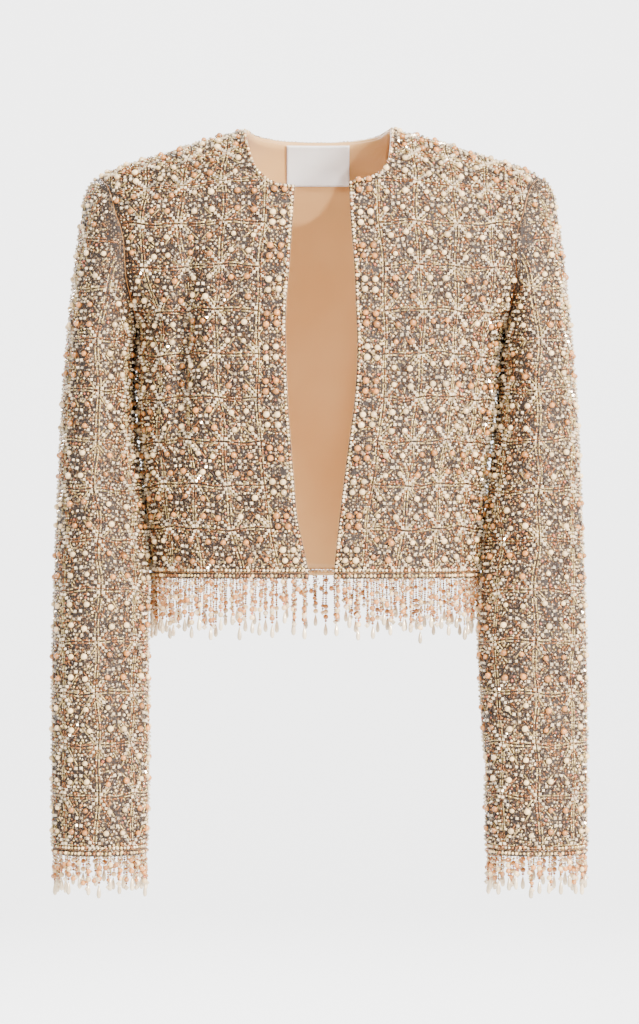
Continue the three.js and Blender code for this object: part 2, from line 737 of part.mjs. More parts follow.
// The lining shows inside the back, through the neck and the open front.
const LINING_INSET = 6; // columns left out at each side, where it never shows
const liningOf = (grid) =>
  grid.map((row) => row.slice(LINING_INSET, row.length - LINING_INSET));
const liningDepth = WALL + 2.5 * GAP;
const liningNormals = liningOf(backNormals);
const liningOuter = moved(liningOf(backPoints), liningNormals, -liningDepth);
const liningInner = moved(liningOuter, liningNormals, -LINING);
const liningGeometry = wallGeometry(liningOuter, liningInner, false);
addPiece("back_lining", liningGeometry, COLOURS.lining, 0.5, 0);

// The point of a grid of points that lies behind (x, z), seen from the front.
function behind(grid, x, z) {
  const barycentre = new THREE.Vector3();
  const flat = (p) => new THREE.Vector3(p.x, p.z, 0);
  for (let j = 0; j < grid.length - 1; j++) {
    for (let i = 0; i < grid[0].length - 1; i++) {
      const [a, b] = [grid[j][i], grid[j][i + 1]];
      const [c, d] = [grid[j + 1][i + 1], grid[j + 1][i]];
      for (const [p, q, r] of [[a, b, c], [a, c, d]]) {
        const place = new THREE.Vector3(x, z, 0);
        THREE.Triangle.getBarycoord(place, flat(p), flat(q), flat(r), barycentre);
        if (Math.min(barycentre.x, barycentre.y, barycentre.z) < -1e-6) continue;
        const y = p.y * barycentre.x + q.y * barycentre.y + r.y * barycentre.z;
        return new THREE.Vector3(x, y, z);
      }
    }
  }
  throw new Error("the label reaches past the lining");
}

// The blank label hangs on the lining below the back neck.
const labelRows = [];
for (let j = 0; j <= LABEL_GRID.rows; j++) {
  const row = [];
  for (let i = 0; i <= LABEL_GRID.columns; i++) {
    const x = LABEL_PLACE.x + LABEL_PLACE.width * (i / LABEL_GRID.columns - 0.5);
    const z = LABEL_PLACE.top - LABEL_PLACE.height * (1 - j / LABEL_GRID.rows);
    row.push(behind(liningInner, x, z));
  }
  labelRows.push(row);
}
const labelNormals = normalsOf(labelRows, false).map((row) =>
  row.map((n) => (n.y < 0 ? n.negate() : n)),
);
const labelOuter = moved(labelRows, labelNormals, -2 * GAP);
const labelInner = moved(labelRows, labelNormals, -2 * GAP - LABEL);
addPiece("label", wallGeometry(labelOuter, labelInner, false), COLOURS.label, 0.7, 0);

export default group;
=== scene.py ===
# %% [markdown]
# # A cropped jacket covered with beads
# A short, collarless evening jacket: cloth panels hidden under a trellis of glass beads, a satin
# lining, a blank label and a fringe of beads at the hem and the cuffs. The frame holds the plain
# solids. This script dresses each of them, and it never moves one. Sizes are in millimetres, as
# a maker measures them, and every mesh is scaled to metres when it is made.

import math

import bpy
import numpy as np
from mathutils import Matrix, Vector


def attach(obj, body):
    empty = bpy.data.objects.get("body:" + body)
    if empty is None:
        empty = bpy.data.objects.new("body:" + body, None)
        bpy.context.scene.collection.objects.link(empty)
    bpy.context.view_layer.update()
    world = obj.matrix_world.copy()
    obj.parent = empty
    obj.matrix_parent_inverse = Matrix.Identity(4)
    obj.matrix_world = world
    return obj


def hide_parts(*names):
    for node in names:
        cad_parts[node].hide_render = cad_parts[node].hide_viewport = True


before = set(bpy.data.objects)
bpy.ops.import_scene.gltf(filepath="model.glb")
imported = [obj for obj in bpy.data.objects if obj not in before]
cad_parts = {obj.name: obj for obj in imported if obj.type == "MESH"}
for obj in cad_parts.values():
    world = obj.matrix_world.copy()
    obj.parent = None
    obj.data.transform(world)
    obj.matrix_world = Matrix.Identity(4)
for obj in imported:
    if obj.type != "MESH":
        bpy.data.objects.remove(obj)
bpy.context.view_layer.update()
MM = 0.001

# %% [markdown]
# ## Measurements
# A pattern cutter works from a size table. Here each table has one row per height (or per place)
# and named columns, and `read` passes a smooth curve through a column. A curve through few
# numbers gives cloth that has no corners, and one number can still be changed on its own.

# %% Size tables
WALL = 2.4
GAP = 0.35
LINING = 1.0
LABEL = 0.8
HEM_Z = -366
CUFF_Z = -601
UNDERARM_Z = -152
TIP_X = 193
SHOULDER_DROP = 50
SHOULDER_ARC = 105
SQUARENESS = 2.4
ARMHOLE_REACH = {-1: 60, 1: 62}
BACK_NECK_Z = 12


def table(columns, *rows):
    return {name: np.array(values, float) for name, values in zip(columns.split(), zip(*rows))}


TORSO = table(
    "z right left front back",
    (30, 209, 209, 66, 62),
    (-25, 206, 206, 77, 75),
    (-60, 203, 203, 88, 83),
    (-90, 196, 197, 96, 87),
    (-112, 186, 189, 100, 89),
    (-132, 171, 175, 103, 90),
    (-152, 158, 161, 104, 90),
    (-191, 157.5, 154.5, 104, 89),
    (-234, 157, 150.5, 102, 87),
    (-272, 153.5, 145.5, 100, 84),
    (-320, 150.5, 142, 98, 82),
    (-366, 146.5, 140, 97, 82),
    (-400, 145, 139, 97, 82),
)
SHOULDER = table(
    "x z",
    (0, 35),
    (30, 31),
    (63, 17.3),
    (87, 10.5),
    (107, 4.6),
    (136, -5),
    (172, -15.7),
    (193, -25),
    (212, -35),
)
FRONT_EDGE = table(
    "z right left",
    (-366, 9, 12.2),
    (-348, 12.7, 13.9),
    (-320, 18.6, 16.9),
    (-288, 21.5, 20.7),
    (-258, 24, 24.6),
    (-216, 27, 30),
    (-174, 28.3, 32),
    (-144, 28.3, 30.8),
    (-110, 25.7, 29.6),
    (-73, 23.2, 26.8),
    (-36, 20.8, 25),
)
NECKLINE = {
    "right": table(
        "x z",
        (20.8, -37.4),
        (34, -36.6),
        (46.5, -30),
        (54, -22),
        (58.5, -11),
        (63, 5.5),
        (64.5, 16.7),
    ),
    "left": table(
        "x z",
        (25, -34.5),
        (43, -30),
        (53.5, -24),
        (59.5, -13),
        (61.5, 1),
        (62.2, 9),
        (62, 17.7),
    ),
}
SLEEVE = table(
    "z outer right left depth middle",
    (-25, 193, 158, 161, 61, 1),
    (-31, 198.5, 158, 161, 61, 1),
    (-41, 203, 158, 161, 61, 1),
    (-60, 206, 158, 161, 61, 1),
    (-95, 211, 158, 161, 61.5, 1),
    (-130, 214.5, 158, 161, 62.5, 0),
    (-152, 217, 158.4, 161.4, 63, 0),
    (-183, 219.5, 161, 159, 62.5, -2),
    (-217, 222, 161.5, 156, 61, -4),
    (-252, 223.5, 159.5, 152.5, 59, -9),
    (-290, 225, 154.5, 147.5, 57, -15),
    (-322, 226, 152, 144, 54.5, -21),
    (-366, 227, 147.8, 140.8, 51, -30),
    (-420, 228, 148, 137, 46.5, -40),
    (-480, 228.5, 147, 139, 42.5, -47),
    (-545, 228, 147, 142, 39, -52),
    (-601, 228, 148, 143, 36.5, -54),
)


def read(rows, key, column, value):
    order = np.argsort(rows[key])
    k, v = rows[key][order], rows[column][order]
    x = np.clip(np.asarray(value, float), k[0], k[-1])
    i = np.clip(np.searchsorted(k, x, side="left") - 1, 0, len(k) - 2)

    def slope(a, b):
        return (v[b] - v[a]) / (k[b] - k[a])

    width = k[i + 1] - k[i]
    t = (x - k[i]) / width
    start = slope(np.maximum(i - 1, 0), i + 1) * width
    end = slope(i, np.minimum(i + 2, len(k) - 1)) * width
    rise = v[i + 1] - v[i]
    return v[i] + t * (start + t * (3 * rise - 2 * start - end + t * (start + end - 2 * rise)))


def shoulder_z(x):
    return read(SHOULDER, "x", "z", np.abs(x))


print("shoulder tip at", float(shoulder_z(TIP_X)), "mm")

# %% [markdown]
# ## Folds
# Beaded cloth is heavy, so it breaks into few, soft troughs: down the body from the bust and
# round the elbow of each sleeve. They could be simulated, but a cloth solver would lose the
# shape that the jacket was photographed in. Each is placed one by one instead, as a smooth swell
# that sinks the surface, in sizes that differ as real ones do, and a row with a negative depth
# raises it. The first rows of each table are the solids' own, and the rest are smaller or sharper
# ones that only this dressed surface has.

# %% Fold tables
CREASE_REACH = 1.4

FOLDS = table(
    "face x lean top bottom half depth",
    (-1, -112, 8, -50, -270, 24, 6),
    (-1, -142, -6, -120, -340, 20, -3),
    (-1, -62, 6, -190, -372, 26, 3),
    (-1, 128, -10, -170, -345, 22, 4.5),
    (-1, 96, -4, -60, -190, 26, 2.5),
    (-1, 60, -8, -230, -380, 24, -2.5),
    (1, -104, 10, -80, -290, 28, 4.5),
    (1, 112, -8, -110, -320, 26, 4),
    (1, -40, 4, -230, -385, 30, 3),
    (1, 48, -6, -250, -385, 28, 2.5),
    # From here on: folds of the dressed surface alone.
    (-1, -114, 5, -50, -305, 10, 12),
    (-1, -129, 5, -70, -300, 13, -4),
    (-1, -98, 6, -80, -290, 12, -3),
    (-1, -134, -7, -150, -345, 8, 3.2),
    (-1, -84, 12, -90, -200, 9, 1.8),
    (-1, 121, -12, -150, -310, 9, 4.2),
    (-1, -118, -12, -240, -350, 13, 1.4),
    (-1, 74, 10, -120, -230, 14, 1.2),
    (-1, 112, 6, -250, -360, 12, 1.5),
    (1, -70, -8, -140, -260, 15, 1.4),
    (1, 78, 12, -60, -170, 14, 1.5),
    (1, 10, -4, -120, -250, 16, 1.2),
)
CREASES = {
    "right": table(
        "z turn wide tall depth",
        (-286, 118, 60, 17, 4),
        (-330, 60, 55, 20, 3.5),
        (-352, 240, 60, 18, 3.5),
        (-225, 70, 45, 26, 3),
        (-430, 105, 50, 24, 2.5),
        (-510, 320, 50, 22, 2.5),
        # From here on: creases of the dressed surface alone.
        (-283, 112, 46, 6, 2.6),
        (-318, 66, 40, 6, 2.4),
        (-345, 100, 34, 5, 1.6),
        (-262, 95, 30, 11, 1.3),
        (-392, 80, 36, 13, 1.2),
        (-300, 255, 34, 11, 1.5),
        (-556, 95, 40, 14, 1.1),
    ),
    "left": table(
        "z turn wide tall depth",
        (-300, 80, 55, 20, 3.5),
        (-345, 125, 50, 18, 4),
        (-320, 250, 60, 22, 3.5),
        (-215, 110, 45, 24, 3),
        (-455, 60, 55, 24, 2.5),
        (-530, 200, 50, 22, 2),
        # From here on: creases of the dressed surface alone.
        (-304, 74, 44, 6, 2.4),
        (-338, 118, 40, 6, 2.6),
        (-281, 120, 34, 5, 1.6),
        (-262, 70, 32, 12, 1.3),
        (-398, 95, 36, 12, 1.3),
        (-352, 285, 34, 11, 1.4),
        (-500, 90, 40, 15, 1.1),
    ),
}


def swell(distance):
    d = np.minimum(np.abs(distance), 1)
    return (1 + np.cos(np.pi * d)) / 2


def fold_depth(face, x, z):
    depth = np.zeros_like(x)
    for row in zip(*FOLDS.values()):
        f = dict(zip(FOLDS, row))
        if f["face"] != face:
            continue
        along = (z - (f["top"] + f["bottom"]) / 2) / ((f["top"] - f["bottom"]) / 2)
        depth += f["depth"] * swell((x - f["x"] - f["lean"] * along) / f["half"]) * swell(along)
    return depth


def crease_depth(side, z, turn):
    depth = np.zeros_like(z)
    for row in zip(*CREASES[side].values()):
        c = dict(zip(CREASES[side], row))
        away = (turn - c["turn"] + 540) % 360 - 180
        depth += c["depth"] * swell(away / c["wide"]) * swell((z - c["z"]) / c["tall"] / CREASE_REACH)
    return depth


print(len(FOLDS["x"]), "folds in the body,", [len(c["z"]) for c in CREASES.values()], "in the sleeves")

# %% [markdown]
# ## The body's surface
# The torso is a rounded box in section, and over each shoulder the cloth rolls forwards and
# backwards from the shoulder line. Two numbers name a place on it, as on a flat pattern piece:
# `across`, from side seam to side seam, and `way`, the distance down the cloth from the shoulder.
# A point's width and height each depend on the other, so both are settled in a few rounds.
# NumPy moves whole grids of such places at once, so a fine surface costs no more code.

# %% Torso functions
FIRST_GUESS_X, ROUNDS = 190, 8
ARMHOLE_NEAR_X, HALVINGS = 120.0, 40
HEM_WAY = 440.0


def sign_of(side):
    return -1 if side == "right" else 1


def half_width(across, z):
    return np.where(across < 0, read(TORSO, "z", "right", z), read(TORSO, "z", "left", z))


def drop_of(way):
    rounded = SHOULDER_DROP * (1 - np.cos(np.pi / 2 * np.clip(way / SHOULDER_ARC, 0, 1)))
    return rounded + np.maximum(way - SHOULDER_ARC, 0)


def way_of(drop):
    turned = np.arccos(np.clip(1 - drop / SHOULDER_DROP, 0, 1))
    return SHOULDER_ARC * turned / (np.pi / 2) + np.maximum(drop - SHOULDER_DROP, 0)


def torso_point(face, across, way):
    sine = np.sin(across * np.pi / 2)
    x = FIRST_GUESS_X * sine
    for _ in range(ROUNDS):
        z = shoulder_z(x) - drop_of(way)
        x = half_width(across, z) * sine
    round_off = np.sin(np.clip(way / SHOULDER_ARC, 0, 1) * np.pi / 2)
    section = np.maximum(0, 1 - np.abs(sine) ** SQUARENESS) ** (1 / SQUARENESS)
    depth = read(TORSO, "z", "front" if face < 0 else "back", z)
    fold = fold_depth(face, x, z) * np.minimum(1, 2 * section) * round_off
    return np.stack([x, face * (depth * section * round_off - fold), z], -1)


def cloth_place(x, z):
    across = np.arcsin(np.clip(x / half_width(x, z), -1, 1)) * 2 / np.pi
    return np.stack([across, way_of(shoulder_z(x) - z)], -1)


def armhole_places(side, face, turns):
    sign = sign_of(side)
    half = (shoulder_z(TIP_X) - UNDERARM_Z) / 2
    z = UNDERARM_Z + half * (1 + np.cos(turns))
    depth = ARMHOLE_REACH[face] * np.sin(turns)
    near, far = np.full_like(z, ARMHOLE_NEAR_X), read(TORSO, "z", side, z)
    for _ in range(HALVINGS):
        x = (near + far) / 2
        place = cloth_place(sign * x, z)
        deeper = np.abs(torso_point(face, place[..., 0], place[..., 1])[..., 1]) > depth
        near, far = np.where(deeper, x, near), np.where(deeper, far, x)
    places = cloth_place(sign * far, z)
    places[turns > np.pi - 1e-6, 0] = sign
    places[turns < 1e-6] = cloth_place(sign * TIP_X, shoulder_z(TIP_X))
    return places


print("low on the side seam:", np.round(torso_point(-1, np.array(1.0), np.array(HEM_WAY)), 1))

# %% [markdown]
# ## Panel grids
# A front or half a back is cut with four edges: the front edge (or the centre back), the hem,
# the side seam that runs on into the armhole, and the neckline with the shoulder seam. The grid
# is stretched straight across between the first two and bends near the others, as a blended
# sheet of paper would. The edges come first, because the pieces must meet along them.

# %% Panels from their edges
NECK_COLUMNS, SHOULDER_COLUMNS = 12, 12
COLUMNS = NECK_COLUMNS + SHOULDER_COLUMNS
SIDE_ROWS, ARMHOLE_ROWS = 36, 30
ROWS = SIDE_ROWS + ARMHOLE_ROWS
ACROSS_MM = 250


def spaced(places, count):
    measure = places * [ACROSS_MM, 1]
    run = np.concatenate([[0], np.cumsum(np.linalg.norm(np.diff(measure, axis=0), axis=1))])
    even = np.linspace(0, run[-1], count + 1)
    curve = {"run": run, "across": places[:, 0], "way": places[:, 1]}
    return np.stack([read(curve, "run", "across", even), read(curve, "run", "way", even)], -1)


def neck_places(side, face):
    sign = sign_of(side)
    if face < 0:
        return cloth_place(sign * NECKLINE[side]["x"], NECKLINE[side]["z"])
    end = NECKLINE[side]["x"][-1]
    s = np.array([0, 0.25, 0.5, 0.75, 0.9, 1])
    return cloth_place(sign * s * end, BACK_NECK_Z + (shoulder_z(end) - BACK_NECK_Z) * s**3)


def panel_places(side, face):
    sign = sign_of(side)
    neck = spaced(neck_places(side, face), NECK_COLUMNS)
    start = NECKLINE[side]["x"][-1]
    x = start + (TIP_X - start) * np.arange(1, SHOULDER_COLUMNS + 1) / SHOULDER_COLUMNS
    seam = cloth_place(sign * x, shoulder_z(x))
    top = np.concatenate([neck, seam])
    top[NECK_COLUMNS:, 1] = 0
    z = np.linspace(HEM_Z, UNDERARM_Z, SIDE_ROWS + 1)
    side_x = read(TORSO, "z", side, z)
    side_seam = np.stack([np.full_like(z, sign), way_of(shoulder_z(side_x) - z)], -1)
    turns = np.pi * (1 - np.arange(1, ARMHOLE_ROWS + 1) / ARMHOLE_ROWS)
    outer = np.concatenate([side_seam, armhole_places(side, face, turns)])
    outer[-1, 1] = 0
    z = np.linspace(HEM_Z, NECKLINE[side]["z"][0] if face < 0 else BACK_NECK_Z, ROWS + 1)
    x = read(FRONT_EDGE, "z", side, z) if face < 0 else np.zeros_like(z)
    inner = cloth_place(sign * x, z)
    across = np.linspace(inner[0, 0], sign, COLUMNS + 1)
    hem_x = read(TORSO, "z", side, HEM_Z) * np.sin(across * np.pi / 2)
    bottom = np.stack([across, way_of(shoulder_z(hem_x) - HEM_Z)], -1)
    u = np.linspace(0, 1, COLUMNS + 1)[None, :, None]
    v = np.linspace(0, 1, ROWS + 1)[:, None, None]
    straight = (1 - u) * inner[:, None] + u * outer[:, None]
    to_top, to_bottom = top[None] - straight[-1:], bottom[None] - straight[:1]
    places = straight + v**3 * to_top + (1 - v) ** 3 * to_bottom
    places[..., 1] = np.maximum(places[..., 1], 0)
    return places


def grid_normals(grid, wraps=False):
    padded = np.concatenate([grid[:, -1:], grid, grid[:, :1]], 1) if wraps else grid
    along = np.gradient(padded, axis=1)
    along = along[:, 1:-1] if wraps else along
    up = np.gradient(grid, axis=0)
    normals = np.cross(along, up)
    return normals / np.maximum(np.linalg.norm(normals, axis=-1, keepdims=True), 1e-12)


panels = {}
for side in ("right", "left"):
    for face in (-1, 1):
        places = panel_places(side, face)
        points = torso_point(face, places[..., 0], places[..., 1])
        normals = grid_normals(points) * sign_of(side) * -face
        normals[-1, NECK_COLUMNS:, 1] = 0
        normals[: SIDE_ROWS + 1, -1, 1] = 0
        if face > 0:
            normals[:, 0, 0] = 0
        normals /= np.linalg.norm(normals, axis=-1, keepdims=True)
        points[-1, NECK_COLUMNS:, 1] = face * GAP / 2
        points[: SIDE_ROWS + 1, -1, 1] = face * GAP / 2
        panels[side, face] = {"points": points, "normals": normals}
print(len(panels), "half panels of", points.shape[0], "x", points.shape[1], "points")

# %% [markdown]
# ## Sleeve rings
# A set-in sleeve starts as the armhole and turns level on its way down. It is lofted here: ring
# after ring, each an ellipse between the sleeve's outer and inner line, and the first rings are
# pulled onto the armhole so that the seam stays closed. The rings also carry the creases.

# %% Sleeves from rings
CAP_RINGS, RINGS = 39, 87
AROUND = 2 * ARMHOLE_ROWS
LEVEL_Z = -258
SEAM_GAP = 0.65
PULLED_RINGS = 7 * CAP_RINGS / 13
PLAIN_RINGS, SETTLING_RINGS = 9, 6


def ring_points(side, k):
    turn = 2 * np.pi * np.arange(AROUND) / AROUND
    t = min(1, k / CAP_RINGS)
    down = (CUFF_Z - LEVEL_Z) * max(0, k - CAP_RINGS) / (RINGS - CAP_RINGS)
    tip = float(shoulder_z(TIP_X))
    outer_z = tip + (LEVEL_Z - tip) * (0.3 * t + 0.7 * t**1.6)
    inner_z = UNDERARM_Z + (LEVEL_Z - UNDERARM_Z) * t
    middle_z = (outer_z + inner_z) / 2 + down
    outer_x = read(SLEEVE, "z", "outer", outer_z + down)
    inner_x = read(SLEEVE, "z", side, inner_z + down)
    x = (outer_x + inner_x) / 2 + (outer_x - inner_x) / 2 * np.cos(turn)
    y = read(SLEEVE, "z", "middle", middle_z) - read(SLEEVE, "z", "depth", middle_z) * np.sin(turn)
    z = middle_z + (outer_z - inner_z) / 2 * np.cos(turn)
    return np.stack([sign_of(side) * x, y, z], -1)


sleeves = {}
for side in ("right", "left"):
    front, rear = panels[side, -1]["points"], panels[side, 1]["points"]
    edge = np.concatenate([front[SIDE_ROWS:, -1][::-1], rear[SIDE_ROWS + 1 : -1, -1]])
    edge = edge + [sign_of(side) * SEAM_GAP, 0, 0]
    start = edge - ring_points(side, 0)
    keep = [max(0, 1 - k / PULLED_RINGS) ** 2 for k in range(RINGS + 1)]
    rings = np.stack([ring_points(side, k) + start * keep[k] for k in range(RINGS + 1)])
    normals = grid_normals(rings, wraps=True) * sign_of(side)
    turns = np.tile(360 * np.arange(AROUND) / AROUND, (RINGS + 1, 1))
    settle = np.clip((np.arange(RINGS + 1) - PLAIN_RINGS) / SETTLING_RINGS, 0, 1)[:, None]
    rings = rings - normals * (crease_depth(side, rings[..., 2], turns) * settle)[..., None]
    sleeves[side] = {"points": rings, "normals": grid_normals(rings, wraps=True) * sign_of(side)}
print("sleeve rings:", RINGS + 1, "of", AROUND)

# %% [markdown]
# ## Shader helper
# Shader maths is easier to read as an expression than as wires. `Value` wraps one socket, and
# its operators add Math nodes; `Nodes.add` makes any other node from a type, its settings and
# its sockets. The same two work in a geometry tree, so the beads use them again further down.

# %% Values that are sockets
class Value:
    def __init__(self, nodes, socket):
        self.nodes, self.socket = nodes, socket

    def math(self, operation, other=None, swapped=False):
        pair = [self] if other is None else [other, self] if swapped else [self, other]
        return self.nodes.add("ShaderNodeMath", {"operation": operation}, dict(enumerate(pair)))

    def __add__(self, other):
        return self.math("ADD", other)

    def __sub__(self, other):
        return self.math("SUBTRACT", other)

    def __rsub__(self, other):
        return self.math("SUBTRACT", other, swapped=True)

    def __mul__(self, other):
        return self.math("MULTIPLY", other)

    def __truediv__(self, other):
        return self.math("DIVIDE", other)

    __radd__ = __add__
    __rmul__ = __mul__

    def smooth(self, low, high):
        settings = {"interpolation_type": "SMOOTHSTEP"}
        sockets = {"Value": self, "From Min": low, "From Max": high}
        return self.nodes.add("ShaderNodeMapRange", settings, sockets)


class Nodes:
    def __init__(self, tree):
        self.tree = tree

    def add(self, kind, settings=None, sockets=None, output=0):
        node = self.tree.nodes.new(kind)
        for name, value in (settings or {}).items():
            if name == "stops":
                ramp = node.color_ramp
                while len(ramp.elements) < len(value):
                    ramp.elements.new(0.5)
                for element, (place, colour) in zip(ramp.elements, value):
                    element.position, element.color = place, (*colour, 1)
            elif name == "constant":
                node.color_ramp.interpolation = "CONSTANT"
            else:
                setattr(node, name, value)
        for name, value in (sockets or {}).items():
            if isinstance(value, Value):
                self.tree.links.new(value.socket, node.inputs[name])
            else:
                node.inputs[name].default_value = value
        return Value(self, node.outputs[output] if len(node.outputs) else None)

    def mix(self, share, first, second):
        sockets = {0: share, 6: first, 7: second}
        return self.add("ShaderNodeMix", {"data_type": "RGBA"}, sockets, output=2)


def linear(red, green, blue):
    def one(c):
        c /= 255
        return c / 12.92 if c <= 0.04045 else ((c + 0.055) / 1.055) ** 2.4

    return (one(red), one(green), one(blue))


def material(name, surface):
    made = bpy.data.materials.new(name)
    made.use_nodes = True
    made.node_tree.nodes.clear()
    nodes = Nodes(made.node_tree)
    shader = nodes.add("ShaderNodeBsdfPrincipled", {}, surface(nodes))
    nodes.add("ShaderNodeOutputMaterial", {}, {"Surface": shader})
    return made


print("cream in linear light:", [round(c, 2) for c in linear(250, 225, 205)])

# %% [markdown]
# ## The sewn ground
# Between the large beads the cloth disappears under crushed seed beads of about 2 mm. Modelling
# each would take millions of faces, so the ground is painted and bumped by a Voronoi pattern in
# the object's own millimetres: every cell is one seed, with a dark gap round it. The gap is partly
# the dark thread and partly painted shade between the seeds, and each seed's colour darkens from
# its centre to its rim as painted shade.

# %% Ground material
def ground_surface(nodes):
    place = nodes.add("ShaderNodeTexCoord", output=3)
    cell = {"Vector": place, "Scale": 520.0, "Randomness": 0.85}
    shade = nodes.add("ShaderNodeTexVoronoi", {}, cell, output=1)
    reach = nodes.add("ShaderNodeTexVoronoi", {}, cell, output=0)
    # 1 at a seed's centre, falling to 0 at its rim: the colour darkens with it, as painted shade on the
    # rounded seed.
    bead = 1 - reach.smooth(0.3, 0.62)
    pick = nodes.add("ShaderNodeSeparateColor", {}, {"Color": shade})
    stops = [
        (0.0, linear(62, 42, 28)),
        (0.32, linear(138, 106, 72)),
        (0.56, linear(182, 152, 112)),
        (0.74, linear(122, 84, 52)),
        (0.9, linear(222, 196, 160)),
    ]
    seeds = nodes.add("ShaderNodeValToRGB", {"stops": stops, "constant": True}, {"Fac": pick})
    # The very dark brown between the seeds is the dark thread, deepened into painted shade where the
    # seeds meet.
    colour = nodes.mix(bead, (*linear(38, 25, 16), 1), seeds)
    height = (1 - reach * reach * 2.2) * bead
    bump = nodes.add("ShaderNodeBump", {}, {"Strength": 0.8, "Distance": 0.0011, "Height": height})
    return {
        "Base Color": colour,
        "Roughness": 0.75 - bead * 0.5,
        "Metallic": bead * 0.25,
        "Normal": bump,
        "Specular IOR Level": 0.6,
    }


ground = material("beaded ground", ground_surface)
print(ground.name, "has", len(ground.node_tree.nodes), "nodes")

# %% [markdown]
# ## Satin and label
# The lining is a plain tan satin: long floats of thread that shine along one direction, with a
# faint unevenness from the hand of the cloth. The label is a blank woven tape, matt, with fine
# ribs. Both are woven too finely to model, so their weave is a small bump on Object coordinates.

# %% Lining and label materials
def satin_surface(nodes):
    place = nodes.add("ShaderNodeTexCoord", output=3)
    cloud = nodes.add("ShaderNodeTexNoise", {}, {"Vector": place, "Scale": 14.0, "Detail": 2.0})
    thread = nodes.add(
        "ShaderNodeTexWave",
        {"bands_direction": "DIAGONAL"},
        {"Vector": place, "Scale": 780.0, "Distortion": 1.2, "Detail": 1.0},
        output=1,
    )
    tan, light_tan = (*linear(220, 168, 104), 1), (*linear(228, 179, 116), 1)
    colour = nodes.mix(cloud.smooth(0.3, 0.75), tan, light_tan)
    bump = nodes.add("ShaderNodeBump", {}, {"Strength": 0.25, "Distance": 0.0002, "Height": thread})
    return {
        "Base Color": colour,
        "Roughness": 0.36 + cloud * 0.2,
        "Normal": bump,
        "Sheen Weight": 0.25,
        "Anisotropic": 0.4,
    }


def label_surface(nodes):
    place = nodes.add("ShaderNodeTexCoord", output=3)
    ribs = nodes.add(
        "ShaderNodeTexWave",
        {"bands_direction": "Z"},
        {"Vector": place, "Scale": 640.0, "Distortion": 0.6, "Detail": 1.0},
        output=1,
    )
    cloud = nodes.add("ShaderNodeTexNoise", {}, {"Vector": place, "Scale": 90.0, "Detail": 2.0})
    ivory, white = (*linear(252, 248, 243), 1), (*linear(255, 255, 253), 1)
    colour = nodes.mix(ribs * 0.5 + cloud * 0.4, ivory, white)
    bump = nodes.add("ShaderNodeBump", {}, {"Strength": 0.35, "Distance": 0.0003, "Height": ribs})
    return {"Base Color": colour, "Roughness": 0.62 + cloud * 0.2, "Normal": bump, "Sheen Weight": 0.15}


satin = material("satin lining", satin_surface)
woven = material("woven label", label_surface)
print("lining and label:", satin.name, "and", woven.name)

# %% [markdown]
# ## Cloth shells
# Real panels have two sides: beads outside, satin inside. A Solidify modifier could thicken a
# sheet, but its rim can't tell a seam from an open edge, so both faces are laid down as grids
# and their borders are joined. The mesh gets its own flat UV map: outside on the left half of
# the sheet and inside on the right, which is also how a cutter would lay them out.

# %% Walls
pieces = {}


def link(name, points, faces, slots, face_slots, uvs):
    mesh = bpy.data.meshes.new(name)
    mesh.from_pydata((points * MM).tolist(), [], faces.tolist())
    for slot in slots:
        mesh.materials.append(slot)
    mesh.polygons.foreach_set("material_index", face_slots)
    mesh.shade_smooth()
    mesh.uv_layers.new(name="OFBake").data.foreach_set("uv", uvs.ravel())
    made = bpy.data.objects.new(name, mesh)
    bpy.context.scene.collection.objects.link(made)
    pieces[name] = made


def wall(name, outer, inner, slots, wraps=False):
    rows, columns = outer.shape[:2]
    size = rows * columns
    points = np.concatenate([outer.reshape(-1, 3), inner.reshape(-1, 3)])
    spans = columns if wraps else columns - 1
    j, i = np.meshgrid(np.arange(rows - 1), np.arange(spans), indexing="ij")
    j, i = j.ravel(), i.ravel()

    def at(layer, row, column):
        return layer * size + row * columns + column % columns

    def corners(layer):
        around = ((j, i), (j, i + 1), (j + 1, i + 1), (j + 1, i))
        return np.stack([at(layer, *corner) for corner in around], -1)

    def flat_corners(layer):
        u = np.stack([i, i + 1, i + 1, i], -1) / spans
        v = np.stack([j, j, j + 1, j + 1], -1) / (rows - 1)
        return np.stack([0.02 + 0.44 * u + 0.5 * layer, 0.02 + 0.96 * v], -1)

    faces = [corners(0), corners(1)[:, ::-1]]
    uvs = [flat_corners(0), flat_corners(1)[:, ::-1]]
    k, last = np.arange(spans), rows - 1
    rims = [
        np.stack([at(0, 0, k), at(1, 0, k), at(1, 0, k + 1), at(0, 0, k + 1)], -1),
        np.stack([at(0, last, k + 1), at(1, last, k + 1), at(1, last, k), at(0, last, k)], -1),
    ]
    if not wraps:
        k = np.arange(rows - 1)
        end = columns - 1
        rims.append(np.stack([at(0, k + 1, 0), at(1, k + 1, 0), at(1, k, 0), at(0, k, 0)], -1))
        rims.append(np.stack([at(0, k, end), at(1, k, end), at(1, k + 1, end), at(0, k + 1, end)], -1))
    for n, rim in enumerate(rims):
        k = np.arange(len(rim))[:, None] / len(rim)
        step = 1 / len(rim)
        v = np.concatenate([k, k, k + step, k + step], 1)
        u = 0.47 + 0.01 * n + np.array([0, 0.006, 0.006, 0])[None] + 0 * v
        faces.append(rim)
        uvs.append(np.stack([u, 0.02 + 0.96 * v], -1))
    faces, uvs = np.concatenate(faces), np.concatenate(uvs)
    first, second, third, fourth = points[faces.T]
    cross = np.cross(third - first, fourth - second)
    if (points[faces].mean(1) * cross).sum() < 0:
        faces, uvs = faces[:, ::-1], uvs[:, ::-1]
    slot_of = np.ones(len(faces), int)
    slot_of[: len(j)] = 0
    link(name, points, faces, slots, slot_of, uvs)
    print(name, len(faces), "faces")


